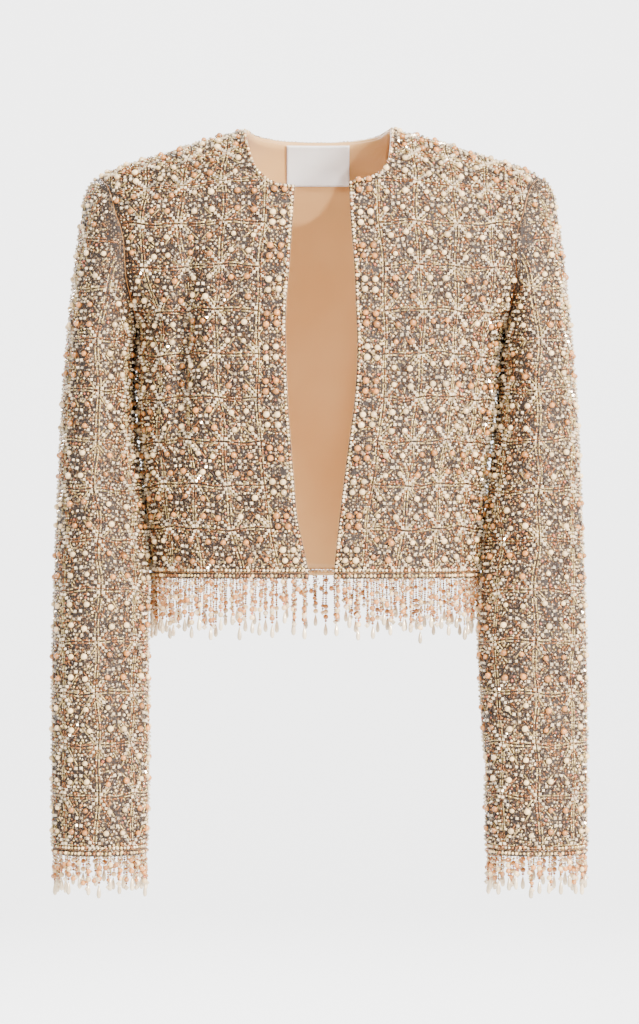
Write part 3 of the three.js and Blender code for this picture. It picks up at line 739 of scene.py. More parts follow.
def shell(name, grid, wraps=False):
    inner = grid["points"] - grid["normals"] * WALL
    wall(name, grid["points"], inner, [ground, satin], wraps)


def joined_back(key):
    right, left = panels["right", 1][key], panels["left", 1][key]
    return np.concatenate([right[:, ::-1], left[:, 1:]], 1)


back = {key: joined_back(key) for key in ("points", "normals")}
shell("front_right_cloth", panels["right", -1])
shell("front_left_cloth", panels["left", -1])
shell("back_cloth", back)
shell("sleeve_right_cloth", sleeves["right"], wraps=True)
shell("sleeve_left_cloth", sleeves["left"], wraps=True)

# %% [markdown]
# ## Lining and label
# The satin back shows through the neck and the open front. It hangs a little free of the cloth,
# so one slanting crease runs into the neck at the viewer's right. It could be a sheet of its own
# with a modifier for its thickness, but the back's grid, moved inwards, already has its shape.

# %% Lining
INSET = 12
LINING_CLEAR = 2.5 * GAP
lining_depth = WALL + LINING_CLEAR
lining_normals = back["normals"][:, INSET:-INSET]
lining_outer = back["points"][:, INSET:-INSET] - lining_normals * lining_depth
x, z = lining_outer[..., 0], lining_outer[..., 2]
crease = 1.8 * swell((z - 5 + 0.22 * (x - 27)) / 5) * swell((x - 46) / 26)
sag = 0.8 * swell((x + 34 - 0.1 * z) / 14) * swell((z + 120) / 110)
lining_inner = lining_outer - lining_normals * (LINING + crease + sag)[..., None]
wall("back_lining_satin", lining_outer, lining_inner, [satin, satin])

# %% [markdown]
# ## Label
# The blank label lies on the lining, held at its edges, and bows very slightly in between. A flat
# card would stand off the curved neck, so each of its points takes its depth from the lining.

# %% Label
LABEL_CLEAR, LABEL_BOW = 1.0, 0.5
LABEL_X, LABEL_WIDE, LABEL_TOP, LABEL_TALL = -1.3, 55.5, 8.6, 34.5


def lining_y(x, z):
    lines = np.moveaxis(lining_inner, 1, 0)
    at_x = [np.interp(z, line[:, 2], line[:, 0]) for line in lines]
    at_y = [np.interp(z, line[:, 2], line[:, 1]) for line in lines]
    return float(np.interp(x, at_x, at_y))


across = np.linspace(-0.5, 0.5, 29)
upwards = np.linspace(0, 1, 19)
label_grid = np.zeros((len(upwards), len(across), 3))
for j, up in enumerate(upwards):
    for i, aside in enumerate(across):
        x, z = LABEL_X + LABEL_WIDE * aside, LABEL_TOP - LABEL_TALL * (1 - up)
        label_grid[j, i] = x, lining_y(x, z) - LABEL_CLEAR, z
bow = LABEL_BOW * np.outer(np.sin(np.pi * upwards), np.cos(np.pi * across))
label_front = label_grid - np.stack([0 * bow, LABEL + bow, 0 * bow], -1)
wall("label_tape", label_grid, label_front, [woven, woven])

# %% [markdown]
# ## Charts for the beadwork
# Beads are sewn in rows and columns, so each panel gets a chart: column numbers one way and
# millimetres of height the other. On the body a row lies at one distance below the shoulder and
# a column keeps its share of the way to the side seam. On a sleeve the columns share the girth.
# A chart is sampled as a table of points once, and any bead looks its place up in it.

# %% Charts
def steps_along(marks, value):
    return np.clip((value - marks[0]) / (marks[1] - marks[0]), 0, len(marks) - 1.001)


class Chart:
    def __init__(self, heights, columns, points, normals, valid):
        self.heights, self.columns = heights, columns
        self.points, self.normals, self.valid = points, normals, valid

    def at(self, column, height):
        fj, fi = steps_along(self.heights, height), steps_along(self.columns, column)
        j, i = fj.astype(int), fi.astype(int)
        tj, ti = (fj - j)[:, None], (fi - i)[:, None]

        def blend(grid):
            low = grid[j, i] * (1 - ti) + grid[j, i + 1] * ti
            high = grid[j + 1, i] * (1 - ti) + grid[j + 1, i + 1] * ti
            return low * (1 - tj) + high * tj

        inside = self.valid[j, i] & self.valid[j + 1, i]
        inside &= self.valid[j, i + 1] & self.valid[j + 1, i + 1]
        return blend(self.points), blend(self.normals), inside


print("2.5 lies", steps_along(np.arange(0, 4, 0.5), 2.5), "steps along marks 0.5 apart")

# %% [markdown]
# ## Charts of the body
# A front has a narrow column along its front edge and five wide ones up to the side seam, and
# half a back has six wide ones. The chart follows the surface in small steps, measures them, and
# puts each column where the measured width says, since the cloth curves away from the viewer.

# %% Body charts
BODY_ROW = 37.0
BODY_COLUMNS = {-1: 5, 1: 6}
EDGE_COLUMN = {-1: 24.0, 1: 0.0}
BELOW_SHOULDER = 55.0
HEM_H = HEM_Z - BELOW_SHOULDER


def torso_chart(side, face):
    sign = sign_of(side)
    heights = np.arange(HEM_H - 6, 40, 2.0)
    columns = np.arange(-0.25, 9.5, 1 / 16)
    z = np.linspace(HEM_Z, -37, 120)
    edge = cloth_place(read(FRONT_EDGE, "z", side, z), z)
    edge_h = shoulder_z(read(FRONT_EDGE, "z", side, z)) - edge[:, 1]
    first = np.interp(heights, edge_h, edge[:, 0]) if face < 0 else np.zeros_like(heights)
    t = np.linspace(0, 1, 260)
    across = np.minimum(first[:, None] + (1 - first[:, None]) * np.sin(np.pi / 2 * t)[None], 1)

    def surface(across):
        x = FIRST_GUESS_X * np.sin(across * np.pi / 2) * sign
        for _ in range(ROUNDS):
            way = np.maximum(shoulder_z(x) - heights[:, None], 0)
            z = shoulder_z(x) - drop_of(way)
            x = half_width(sign * across, z) * np.sin(across * np.pi / 2) * sign
        return torso_point(face, sign * across, way)

    run = np.linalg.norm(np.diff(surface(across), axis=1), axis=-1)
    run = np.concatenate([np.zeros((len(heights), 1)), np.cumsum(run, 1)], 1)
    whole = run[:, -1].copy()
    underarm = UNDERARM_Z - BELOW_SHOULDER
    whole[heights > underarm] = np.interp(underarm, heights, whole)
    wide = (whole - EDGE_COLUMN[face]) / BODY_COLUMNS[face]
    narrow = EDGE_COLUMN[face]
    if narrow:
        reach = np.where(columns < 1, narrow * columns, narrow + (columns - 1) * wide[:, None])
    else:
        reach = wide[:, None] * columns
    placed = np.stack([np.interp(reach[j], run[j], across[j]) for j in range(len(heights))])
    valid = (reach <= run[:, -1:] - 1) & (reach > -1)
    points = surface(placed)
    normals = grid_normals(points) * sign * -face
    return Chart(heights, columns, points, normals, valid), wide


charts = {}
for side in ("right", "left"):
    charts["front_" + side], wide = torso_chart(side, -1)
    narrowest, widest = round(float(wide.min()), 1), round(float(wide.max()), 1)
    print("front", side, "windows", narrowest, "to", widest, "mm wide")
    charts["back_" + side], _ = torso_chart(side, 1)

# %% [markdown]
# ## Charts of the sleeves
# A sleeve's heights are measured up from the cuff along its rings, and its columns share each
# ring's girth. The sleeve bends, so its outer line is longer than its inner one, and the rows
# end where each line of points reaches the armhole.

# %% Sleeve charts
SLEEVE_ROW = 43.5
SLEEVE_COLUMNS = 8


def sleeve_chart(side):
    rings = sleeves[side]["points"][::-1]
    normals = sleeves[side]["normals"][::-1]
    run = np.linalg.norm(np.diff(rings, axis=0), axis=-1)
    run = np.concatenate([np.zeros((1, AROUND)), np.cumsum(run, 0)])
    heights = np.arange(0, run.max(), 3.0)

    def at_heights(grid):
        lines = [[np.interp(heights, run[:, i], grid[:, i, a]) for a in range(3)] for i in range(AROUND)]
        return np.transpose(lines, (2, 0, 1))

    place, facing = at_heights(rings), at_heights(normals)
    complete = heights <= run[-1].min() - 3
    closed = np.concatenate([place, place[:, :1]], 1)
    steps = np.linalg.norm(np.diff(closed, axis=1), axis=-1)
    share = np.concatenate([np.zeros((len(heights), 1)), np.cumsum(steps, 1)], 1)
    share /= share[:, -1:]
    share[~complete] = share[complete][-1]
    columns = np.arange(0, SLEEVE_COLUMNS + 0.5, 1 / 16)
    points = np.zeros((len(heights), len(columns), 3))
    out = np.zeros_like(points)
    valid = np.zeros(points.shape[:2], bool)
    for j in range(len(heights)):
        where = np.interp(columns / SLEEVE_COLUMNS % 1, share[j], np.arange(AROUND + 1))
        i = where.astype(int) % AROUND
        t = (where % 1)[:, None]
        points[j] = place[j, i] * (1 - t) + place[j, (i + 1) % AROUND] * t
        out[j] = facing[j, i] * (1 - t) + facing[j, (i + 1) % AROUND] * t
        valid[j] = heights[j] < np.minimum(run[-1, i], run[-1, (i + 1) % AROUND]) - 1
    return Chart(heights, columns, points, out, valid), run


for side in ("right", "left"):
    charts["sleeve_" + side], run = sleeve_chart(side)
    longest, shortest = round(float(run[-1].max())), round(float(run[-1].min()))
    print("sleeve", side, "outer length", longest, "mm, inner", shortest)

# %% [markdown]
# ## The trellis
# The beadwork is a lattice of windows, of a kind seen on many evening clothes: double lines of
# gold bugles frame each one, two more pairs cross it from corner to corner, crystals run between
# these, and four large beads sit round the crossing. Crushed seeds and short bugles fill the
# rest. Each window is laid out by rule, with its own random fill, so no bead is copied from a
# real garment. A row below holds a bead's kind, the two ends of its axis, its size and its tone.

# %% Lines of bugles
ROUND, CRYSTAL, BUGLE, SEED, DROP = range(5)
CREAM, PEACH, CLEAR, SILVER, OLIVE, COPPER, BROWN, ROSE = range(8)
rng = np.random.default_rng(7)


def line_of_bugles(a0, b0, a1, b1, pitch, tones):
    """Bugles from one place to another, with a seed after every other one."""
    count = max(1, round(math.hypot(a1 - a0, b1 - b0) / pitch))

    def at(t):
        return (a0 + (a1 - a0) * t, b0 + (b1 - b0) * t)

    rows = []
    for n in range(count):
        start, end = at((n + 0.08) / count), at((n + 0.84) / count)
        size, tone = rng.uniform(0.9, 1.1), tones[rng.integers(len(tones))]
        rows.append((BUGLE, *start, *end, size, tone))
        if n % 2 == 0:
            seed = at((n + 0.96) / count)
            rows.append((SEED, *seed, seed[0] + 1, seed[1], 0.7, CLEAR))
    return rows


print("kinds of bead:", DROP + 1, "and tones:", ROSE + 1)

# %% [markdown]
# ## Seeds between the lines
# Seeds and short bugles lie at all angles in the triangles that the lines leave free. They could
# be thrown at random, but then some would lie on each other. Here they stand on a staggered grid
# instead, each moved a little off its place, and those too near a line or a large bead are left
# out.

# %% Filling
RAIL = 2.2
FILL_PITCH = 3.5
FILL_SHARES = [0.14, 0.07, 0.3, 0.08, 0.17, 0.14, 0.06, 0.04]
SHORT_BUGLES, SHORT_LONG = 0.22, 3.4


def filling(wide, tall, large, crossed=True):
    """Seeds and short bugles, clear of the large beads and, if crossed, of the two diagonals."""
    rows = []
    long = math.hypot(wide, tall)
    for n, b in enumerate(np.arange(2.6, tall - 1.8, FILL_PITCH * 0.87)):
        for a in np.arange(2.8 + (n % 2) * FILL_PITCH / 2, wide - 2.2, FILL_PITCH):
            p = (a + rng.normal(0, 0.45), b + rng.normal(0, 0.45))
            rising = abs(tall * p[0] - wide * p[1]) / long
            falling = abs(tall * p[0] + wide * p[1] - wide * tall) / long
            if crossed and min(rising, falling) < RAIL + 1.9:
                continue
            if any(math.hypot(p[0] - c[0], p[1] - c[1]) < 3.5 for c in large):
                continue
            angle = rng.uniform(0, math.pi)
            aim = (math.cos(angle), math.sin(angle))
            if rng.random() < SHORT_BUGLES:
                end = (p[0] + SHORT_LONG * aim[0], p[1] + SHORT_LONG * aim[1])
                rows.append((BUGLE, *p, *end, 1.0, OLIVE if rng.random() < 0.5 else COPPER))
            else:
                size = rng.uniform(0.8, 1.25)
                tone = rng.choice(len(FILL_SHARES), p=FILL_SHARES)
                rows.append((SEED, *p, p[0] + aim[0], p[1] + aim[1], size, tone))
    return rows


print("shares of the tones add up to", round(sum(FILL_SHARES), 3))

# %% [markdown]
# ## One window
# A window is framed by two lines at each border. Its neighbour draws the far borders, so no line
# is sewn twice. The diagonals are pairs of lines too, with a row of crystals between them.

# %% One window of beadwork
BORDER = 1.25
CORNERS = [(sa, sb) for sa in (-1, 1) for sb in (-1, 1)]


def window(wide, tall, large_tone):
    """The beads of one window, in mm from its lower inner corner."""
    mid_a, mid_b = wide / 2, tall / 2
    long = math.hypot(mid_a, mid_b)
    large = [
        (mid_a + sa * 0.43 * mid_a + rng.normal(0, 0.8), mid_b + sb * 0.42 * mid_b + rng.normal(0, 0.8))
        for sa, sb in CORNERS
    ]
    rows = []
    for offset in (-BORDER, BORDER):
        rows += line_of_bugles(offset, 0, offset, tall, 6.1, (OLIVE, OLIVE, COPPER))
        rows += line_of_bugles(0, offset, wide, offset, 6.1, (OLIVE, COPPER))
    for sa, sb in CORNERS:
        aside_a, aside_b = -sb * mid_b / long, sa * mid_a / long

        def towards_corner(t, rail=0.0):
            return (mid_a + sa * mid_a * t - aside_a * rail, mid_b + sb * mid_b * t - aside_b * rail)

        for rail in (-RAIL, RAIL):
            ends = (*towards_corner(0.16, rail), *towards_corner(0.95, rail))
            rows += line_of_bugles(*ends, 9.5, (BROWN, COPPER, BROWN, OLIVE))
        for t in (0.15, 0.6, 0.74, 0.88):
            p = towards_corner(t)
            tone = CLEAR if rng.random() < 0.75 else SILVER
            rows.append((CRYSTAL, *p, p[0] + sa, p[1] + sb, rng.uniform(0.95, 1.2), tone))
    for a, b in large:
        rows.append((ROUND, a, b, a + 1, b, rng.uniform(0.78, 1.05), large_tone))
    return rows + filling(wide, tall, large)


def edge_window(wide, tall, large_tone):
    """A cell of the narrow column by the front edge: four large beads close together."""
    mid_a, mid_b = wide / 2 + 0.5, tall / 2
    large = [(mid_a + sa * 4.4, mid_b + sb * 4.4) for sa, sb in CORNERS]
    rows = [(ROUND, a, b, a + 1, b, rng.uniform(0.92, 1.08), large_tone) for a, b in large]
    rows.append((CRYSTAL, mid_a, mid_b, mid_a + 1, mid_b, 1.1, SILVER))
    for sa, sb in CORNERS:
        near = (mid_a + sa * 7.0, mid_b + sb * 7.6)
        far = (mid_a + sa * 10.2, mid_b + sb * 12.6)
        rows += line_of_bugles(*near, *far, 5.2, (COPPER, OLIVE))
        p = (mid_a + sa * 9.4, mid_b + sb * 7.8)
        rows.append((CRYSTAL, *p, mid_a + 1, mid_b, 0.9, CLEAR))
    return rows + filling(wide, tall, large, crossed=False)


print("beads in one window:", len(window(32, BODY_ROW, CREAM)))

# %% [markdown]
# ## The bead tree
# More than fifty thousand beads share five shapes, so a Geometry Nodes tree places them: points
# carry a kind, an axis, the way out of the cloth, a size and a tone, and each kind of bead is
# instanced on its own points. The shapes stay very coarse, because a 2 mm bead covers two
# pixels. The drop is a sphere whose upper part is drawn in. The tree ends in Realize Instances
# and Set Material, and the result becomes a plain mesh. All sizes that differ between beads come
# with the points, from one random generator with a fixed seed.

# %% Geometry Nodes for beads
def bead_tree():
    tree = bpy.data.node_groups.new("Sewn beads", "GeometryNodeTree")
    face = tree.interface
    face.new_socket("Geometry", in_out="INPUT", socket_type="NodeSocketGeometry")
    sizes = {"Round radius": 0.0027, "Crystal radius": 0.0017, "Bugle radius": 0.00066}
    sizes.update({"Bugle length": 0.001, "Seed radius": 0.00125, "Drop radius": 0.0023})
    for name, size in sizes.items():
        made = face.new_socket(name, in_out="INPUT", socket_type="NodeSocketFloat")
        made.default_value = size
    face.new_socket("Glass", in_out="INPUT", socket_type="NodeSocketMaterial")
    face.new_socket("Geometry", in_out="OUTPUT", socket_type="NodeSocketGeometry")
    nodes = Nodes(tree)
    start = nodes.add("NodeGroupInput")
    given = {s.name: Value(nodes, s) for s in start.socket.node.outputs}

    def attribute(name, kind):
        return nodes.add("GeometryNodeInputNamedAttribute", {"data_type": kind}, {"Name": name})

    axis, out = attribute("axis", "FLOAT_VECTOR"), attribute("out", "FLOAT_VECTOR")
    turned = nodes.add("FunctionNodeAxesToRotation", {}, {0: axis, 1: out})
    drawn = nodes.add("GeometryNodeInputPosition")
    height = nodes.add("ShaderNodeSeparateXYZ", {}, {0: drawn}, output=2) / given["Drop radius"]
    narrow = 0.62 - height * 0.38
    squeeze = nodes.add("ShaderNodeCombineXYZ", {}, {0: narrow, 1: narrow, 2: 2.1})
    pulled = nodes.add("ShaderNodeVectorMath", {"operation": "MULTIPLY"}, {0: drawn, 1: squeeze})
    sphere = "GeometryNodeMeshUVSphere"
    drop = nodes.add(sphere, {}, {"Segments": 8, "Rings": 6, "Radius": given["Drop radius"]})
    bugle = {"Vertices": 4, "Radius": given["Bugle radius"], "Depth": given["Bugle length"]}
    shapes = [
        nodes.add(sphere, {}, {"Segments": 8, "Rings": 5, "Radius": given["Round radius"]}),
        nodes.add(sphere, {}, {"Segments": 6, "Rings": 2, "Radius": given["Crystal radius"]}),
        nodes.add("GeometryNodeMeshCylinder", {}, bugle),
        nodes.add(sphere, {}, {"Segments": 4, "Rings": 2, "Radius": given["Seed radius"]}),
        nodes.add("GeometryNodeSetPosition", {}, {"Geometry": drop, "Position": pulled}),
    ]
    joined = tree.nodes.new("GeometryNodeJoinGeometry")
    for kind, shape in enumerate(shapes):
        chosen = nodes.add(
            "FunctionNodeCompare",
            {"data_type": "INT", "operation": "EQUAL"},
            {2: attribute("kind", "INT"), 3: kind},
        )
        finish = {"Geometry": shape, "Shade Smooth": kind != CRYSTAL}
        shaded = nodes.add("GeometryNodeSetShadeSmooth", {}, finish)
        sockets = {"Points": given["Geometry"], "Selection": chosen, "Instance": shaded}
        sockets.update({"Rotation": turned, "Scale": attribute("size", "FLOAT_VECTOR")})
        placed = nodes.add("GeometryNodeInstanceOnPoints", {}, sockets)
        tree.links.new(placed.socket, joined.inputs[0])
    real = nodes.add("GeometryNodeRealizeInstances", {}, {0: Value(nodes, joined.outputs[0])})
    dressed = nodes.add("GeometryNodeSetMaterial", {}, {"Geometry": real, "Material": given["Glass"]})
    nodes.add("NodeGroupOutput", {}, {})
    tree.links.new(dressed.socket, tree.nodes["Group Output"].inputs[0])
    return tree


sewn_beads = bead_tree()
print("tree inputs:", [s.name for s in sewn_beads.interface.items_tree if s.in_out == "INPUT"])

# %% [markdown]
# ## Glass and metal
# Beads differ in colour and shine: opaque cream and peach rounds, clear and silver-lined
# crystals, gold and copper bugles. One material serves them all. A bead's tone is a number: its
# whole part picks the colour from a stepped ramp, and its fraction makes the bead a little
# lighter or darker. That keeps thousands of beads in one mesh and still lets each one differ.

# %% Bead material
TONES = {
    CREAM: linear(255, 216, 156),
    PEACH: linear(204, 132, 62),
    CLEAR: linear(244, 220, 182),
    SILVER: linear(212, 194, 166),
    OLIVE: linear(212, 182, 120),
    COPPER: linear(168, 108, 62),
    BROWN: linear(66, 42, 26),
    ROSE: linear(206, 112, 76),
}
TONE_COUNT = len(TONES)


def between(value, low, high):
    return value.smooth(low - 0.01, low + 0.01) * (1 - value.smooth(high - 0.01, high + 0.01))


def glass_surface(nodes):
    tone = nodes.add("ShaderNodeAttribute", {"attribute_name": "tone"}, output=2)
    whole = tone.math("FLOOR")
    stops = [(number / TONE_COUNT, colour) for number, colour in TONES.items()]
    picked = {"Fac": (whole + 0.5) / TONE_COUNT}
    ramp = nodes.add("ShaderNodeValToRGB", {"stops": stops, "constant": True}, picked)
    light = 0.66 + (tone - whole) * 0.6
    colour = nodes.add("ShaderNodeHueSaturation", {}, {"Value": light, "Color": ramp})
    clear, metal = between(tone, CLEAR, OLIVE), between(tone, SILVER, BROWN)
    return {
        "Base Color": colour,
        "Roughness": 0.3 - clear * 0.2 - metal * 0.04,
        "Metallic": metal * 0.5 + clear * 0.15,
        "Specular IOR Level": 0.7,
        "Coat Weight": 0.5,
        "Coat Roughness": 0.08,
    }


glass = material("bead glass", glass_surface)
print(glass.name, "with", TONE_COUNT, "tones")

# %% [markdown]
# ## From chart to cloth
# A bead's place comes off the chart, lifted by a part of its own thickness so that it sits in
# the cloth and not on top of it. Beads past an edge are dropped: over the neckline, in the
# armhole or across a seam. The lines of real beadwork are never quite straight, so each place
# strays a little from the rule.

# %% Beads from a chart
LIFT = np.array([1.5, 1.0, 0.45, 0.55, 0])
LONGEST_BUGLE = 9
JITTERS = 8


def beads(kind, place, axis, out, size, tone):
    """The points of some beads, each with its tone a little lighter or darker than the rest."""
    count = len(place)
    jitter = (rng.integers(0, JITTERS, count) + 0.5) / JITTERS
    return {
        "kind": np.broadcast_to(kind, count).astype(int),
        "place": place,
        "axis": np.broadcast_to(axis, (count, 3)),
        "out": out,
        "size": size,
        "tone": np.broadcast_to(tone, count) + jitter,
    }


def strayed(place):
    """Hand-sewn lines wander a little: a slow wave in both directions of the chart."""
    column, height = place[:, 0], place[:, 1]
    aside = 0.035 * np.sin(height / 23 + 2.2 * column) + 0.03 * np.sin(height / 9.7 - 1.3 * column)
    up = 1.3 * np.sin(2.1 * column + height / 61) + 0.7 * np.sin(5.3 * column - height / 31)
    calm = np.clip(column / 1.5, 0, 1)
    return np.stack([column + aside * calm, height + up * calm], -1)


def from_chart(chart, rows, inside, wrap=None):
    rows = np.array(rows, float)
    kind = rows[:, 0].astype(int)
    start, end = strayed(rows[:, 1:3]), strayed(rows[:, 3:5])
    if wrap:
        start[:, 0] %= wrap
        end[:, 0] %= wrap
    p, out, on = chart.at(start[:, 0], start[:, 1])
    q, _, on_too = chart.at(end[:, 0], end[:, 1])
    bugle = kind == BUGLE
    middle = np.where(bugle[:, None], (p + q) / 2, p)
    axis = q - p
    length = np.linalg.norm(axis, axis=1)
    whole = on_too & inside(p) & inside(q) & (length < LONGEST_BUGLE)
    keep = on & inside(middle) & np.where(bugle, whole, True) & (length > 1e-6)
    place = middle + out * LIFT[kind][:, None]
    size = np.repeat(rows[:, 5:6], 3, 1)
    size[bugle, 2] = length[bugle]
    made = beads(kind, place, axis, out, size, rows[:, 6])
    return {name: values[keep] for name, values in made.items()}


print("lift of each kind of bead:", LIFT, "mm")

# %% [markdown]
# ## Sewing the beads down
# The points of a panel go through the tree and come back as one plain mesh, and the modifier
# goes with the points. The mesh gets its own small UV map, where each bead lies in the square
# that belongs to its tone, so a tiny baked picture can hold all the colours.

# %% Sewing
def palette_map(mesh):
    tone = np.zeros(len(mesh.vertices))
    mesh.attributes["tone"].data.foreach_get("value", tone)
    corner = np.zeros(len(mesh.loops), int)
    mesh.loops.foreach_get("vertex_index", corner)
    start, total = np.zeros(len(mesh.polygons), int), np.zeros(len(mesh.polygons), int)
    mesh.polygons.foreach_get("loop_start", start)
    mesh.polygons.foreach_get("loop_total", total)
    owner = np.repeat(np.arange(len(start)), total)
    turn = 2 * np.pi * (np.arange(len(corner)) - start[owner]) / total[owner] + 0.3
    value = tone[corner[start[owner]]]
    cell = np.stack([np.floor(value), np.floor((value % 1) * JITTERS)], -1)
    uv = (cell + 0.5 + 0.36 * np.stack([np.cos(turn), np.sin(turn)], -1)) / TONE_COUNT
    mesh.uv_layers.new(name="OFBake").data.foreach_set("uv", uv.ravel())


def sew(name, parts):
    data = {key: np.concatenate([part[key] for part in parts]) for key in parts[0]}
    mesh = bpy.data.meshes.new(name + "_points")
    mesh.from_pydata((data["place"] * MM).tolist(), [], [])
    for key in ("axis", "out", "size"):
        vectors = mesh.attributes.new(key, "FLOAT_VECTOR", "POINT")
        vectors.data.foreach_set("vector", data[key].astype(float).ravel())
    mesh.attributes.new("tone", "FLOAT", "POINT").data.foreach_set("value", data["tone"])
    mesh.attributes.new("kind", "INT", "POINT").data.foreach_set("value", data["kind"])
    points = bpy.data.objects.new(name + "_points", mesh)
    bpy.context.scene.collection.objects.link(points)
    modifier = points.modifiers.new("beads", "NODES")
    modifier.node_group = sewn_beads
    for socket in sewn_beads.interface.items_tree:
        if socket.name == "Glass":
            modifier[socket.identifier] = glass
    ready = points.evaluated_get(bpy.context.evaluated_depsgraph_get())
    plain = bpy.data.meshes.new_from_object(ready)
    plain.name = name
    bpy.data.objects.remove(points)
    for key in ("axis", "out", "size", "kind"):
        if key in plain.attributes:
            plain.attributes.remove(plain.attributes[key])
    palette_map(plain)
    made = bpy.data.objects.new(name, plain)
    bpy.context.scene.collection.objects.link(made)
    pieces[name] = made
    plain.calc_loop_triangles()
    print(name, len(data["tone"]), "beads,", len(plain.loop_triangles), "triangles")


print("sewn with the tree", sewn_beads.name)

# %% [markdown]
# ## Beads along an edge
# A beader closes every edge with one row of small round beads. A path is walked in even steps,
# and a bead is put down at each step, just inside the edge.

# %% Edge rows
EDGE_PITCH, EDGE_LIFT, EDGE_INSET = 3.3, 0.6, 1.6
EDGE_SIZES = (0.4, 0.58)


def walk(path, out, pitch):
    run = np.concatenate([[0], np.cumsum(np.linalg.norm(np.diff(path, axis=0), axis=1))])
    count = max(1, round(run[-1] / pitch))
    even = (np.arange(count) + 0.5) / count * run[-1]
    place = np.stack([np.interp(even, run, path[:, a]) for a in range(3)], -1)
    way = np.stack([np.interp(even, run, out[:, a]) for a in range(3)], -1)
    return place, way / np.linalg.norm(way, axis=1, keepdims=True)


def edge_row(path, out, inwards, tones=(CLEAR, OLIVE, CREAM, COPPER, CLEAR)):
    place, way = walk(path + inwards, out, EDGE_PITCH)
    tone = np.array(tones)[rng.integers(0, len(tones), len(place))]
    size = np.repeat(rng.uniform(*EDGE_SIZES, (len(place), 1)), 3, 1)
    return beads(ROUND, place + way * EDGE_LIFT, [0, 0, 1], way, size, tone)


def grid_edge(grid, rows, columns, towards_rows, towards_columns):
    path = grid["points"][rows, columns]
    inside = grid["points"][towards_rows, towards_columns] - path
    inside /= np.linalg.norm(inside, axis=1, keepdims=True)
    return path, grid["normals"][rows, columns], inside * EDGE_INSET


print("an edge bead every", EDGE_PITCH, "mm")

# %% [markdown]
# ## Where a panel's beads end
# The charts run past the panels, so a test says which beads lie on the cloth. It uses the same
# curves as the panels do: the neckline, the front edge, the oval of the armhole and the hem.

# %% Edges of the beadwork
HEM_CLEAR, SEAM_CLEAR, ARMHOLE_CLEAR = 1.4, 1.3, 1.04
FRONT_CLEAR, NECK_CLEAR, NECK_SIDE_CLEAR = 1.8, 1.8, 1.5
ARMHOLE_FROM_X = 100


def inside_torso(side, face):
    half = (float(shoulder_z(TIP_X)) - UNDERARM_Z) / 2

    def inside(p):
        x, y, z = np.abs(p[:, 0]), np.abs(p[:, 1]), p[:, 2]
        oval = (y / ARMHOLE_REACH[face]) ** 2 + ((z - UNDERARM_Z - half) / half) ** 2
        kept = (z > HEM_Z + HEM_CLEAR) & (y > SEAM_CLEAR)
        kept &= (oval > ARMHOLE_CLEAR) | (x < ARMHOLE_FROM_X) | (z < UNDERARM_Z)
        if face < 0:
            neck = NECKLINE[side]
            edge = np.where(z > neck["z"][0], read(neck, "z", "x", z), read(FRONT_EDGE, "z", side, z))
            return kept & (x > edge + FRONT_CLEAR)
        end = NECKLINE[side]["x"][-1]
        neck_z = BACK_NECK_Z + (shoulder_z(end) - BACK_NECK_Z) * np.minimum(x / end, 1) ** 3
        return kept & ((x > end + NECK_SIDE_CLEAR) | (z < neck_z - NECK_CLEAR))

    return inside


on_cloth = inside_torso("right", -1)(np.array([[-100.0, -90, -200], [0, -90, -200]]))
print("beads on the front and in the front gap are kept:", on_cloth)

# %% [markdown]
# ## Beading each panel
# Window after window is laid over each chart. The large beads are cream or peach by turns, with
# a few out of step, as the photograph shows. The narrow column along a front edge has its own
# closer clusters. The back is beaded in two halves, only to keep each mesh to a fair size.

# %% Beaded panels
BODY_WINDOW, BODY_WINDOW_ROWS, BODY_WINDOW_COLUMNS = 32, 13, 9
CLUSTER_WIDE, CLUSTER_TALL, CLUSTERS = 24, 28.6, 15
OUT_OF_STEP = 0.18


def tiled(window_rows, wide, column, height):
    """A window's rows moved to its place on the chart, with the widths as shares of a column."""
    return [
        (kind, column + a0 / wide, height + b0, column + a1 / wide, height + b1, size, tone)
        for kind, a0, b0, a1, b1, size, tone in window_rows
    ]


def large_tone(column, row):
    odd = (column + row) % 2 == 1
    return PEACH if odd != (rng.random() < OUT_OF_STEP) else CREAM


def torso_rows(face):
    rows = []
    for row in range(BODY_WINDOW_ROWS):
        for column in range(0 if face > 0 else 1, BODY_WINDOW_COLUMNS):
            made = window(BODY_WINDOW, BODY_ROW, large_tone(column, row))
            rows += tiled(made, BODY_WINDOW, column, HEM_H + BODY_ROW * row)
    if face < 0:
        for row in range(CLUSTERS):
            made = edge_window(CLUSTER_WIDE, CLUSTER_TALL, PEACH if row % 2 else CREAM)
            rows += tiled(made, CLUSTER_WIDE, 0, HEM_H + CLUSTER_TALL * row)
    return rows


all_rows, all_columns = np.arange(ROWS + 1), np.arange(COLUMNS + 1)
neck = np.arange(NECK_COLUMNS + 1)
for side in ("right", "left"):
    front, rear = panels[side, -1], panels[side, 1]
    parts = [from_chart(charts["front_" + side], torso_rows(-1), inside_torso(side, -1))]
    parts.append(edge_row(*grid_edge(front, all_rows, 0, all_rows, 1)))
    parts.append(edge_row(*grid_edge(front, ROWS, neck, ROWS - 1, neck)))
    parts.append(edge_row(*grid_edge(front, 0, all_columns, 1, all_columns)))
    sew("front_" + side + "_beads", parts)
    parts = [from_chart(charts["back_" + side], torso_rows(1), inside_torso(side, 1))]
    parts.append(edge_row(*grid_edge(rear, ROWS, neck, ROWS - 1, neck)))
    parts.append(edge_row(*grid_edge(rear, 0, all_columns, 1, all_columns)))
    sew("back_" + side + "_beads", parts)

# %% [markdown]
# ## Beading the sleeves
# A sleeve is a tube, so its columns close up: eight windows share the girth and narrow towards
# the cuff with it. A bead past the last column starts again at the first one.

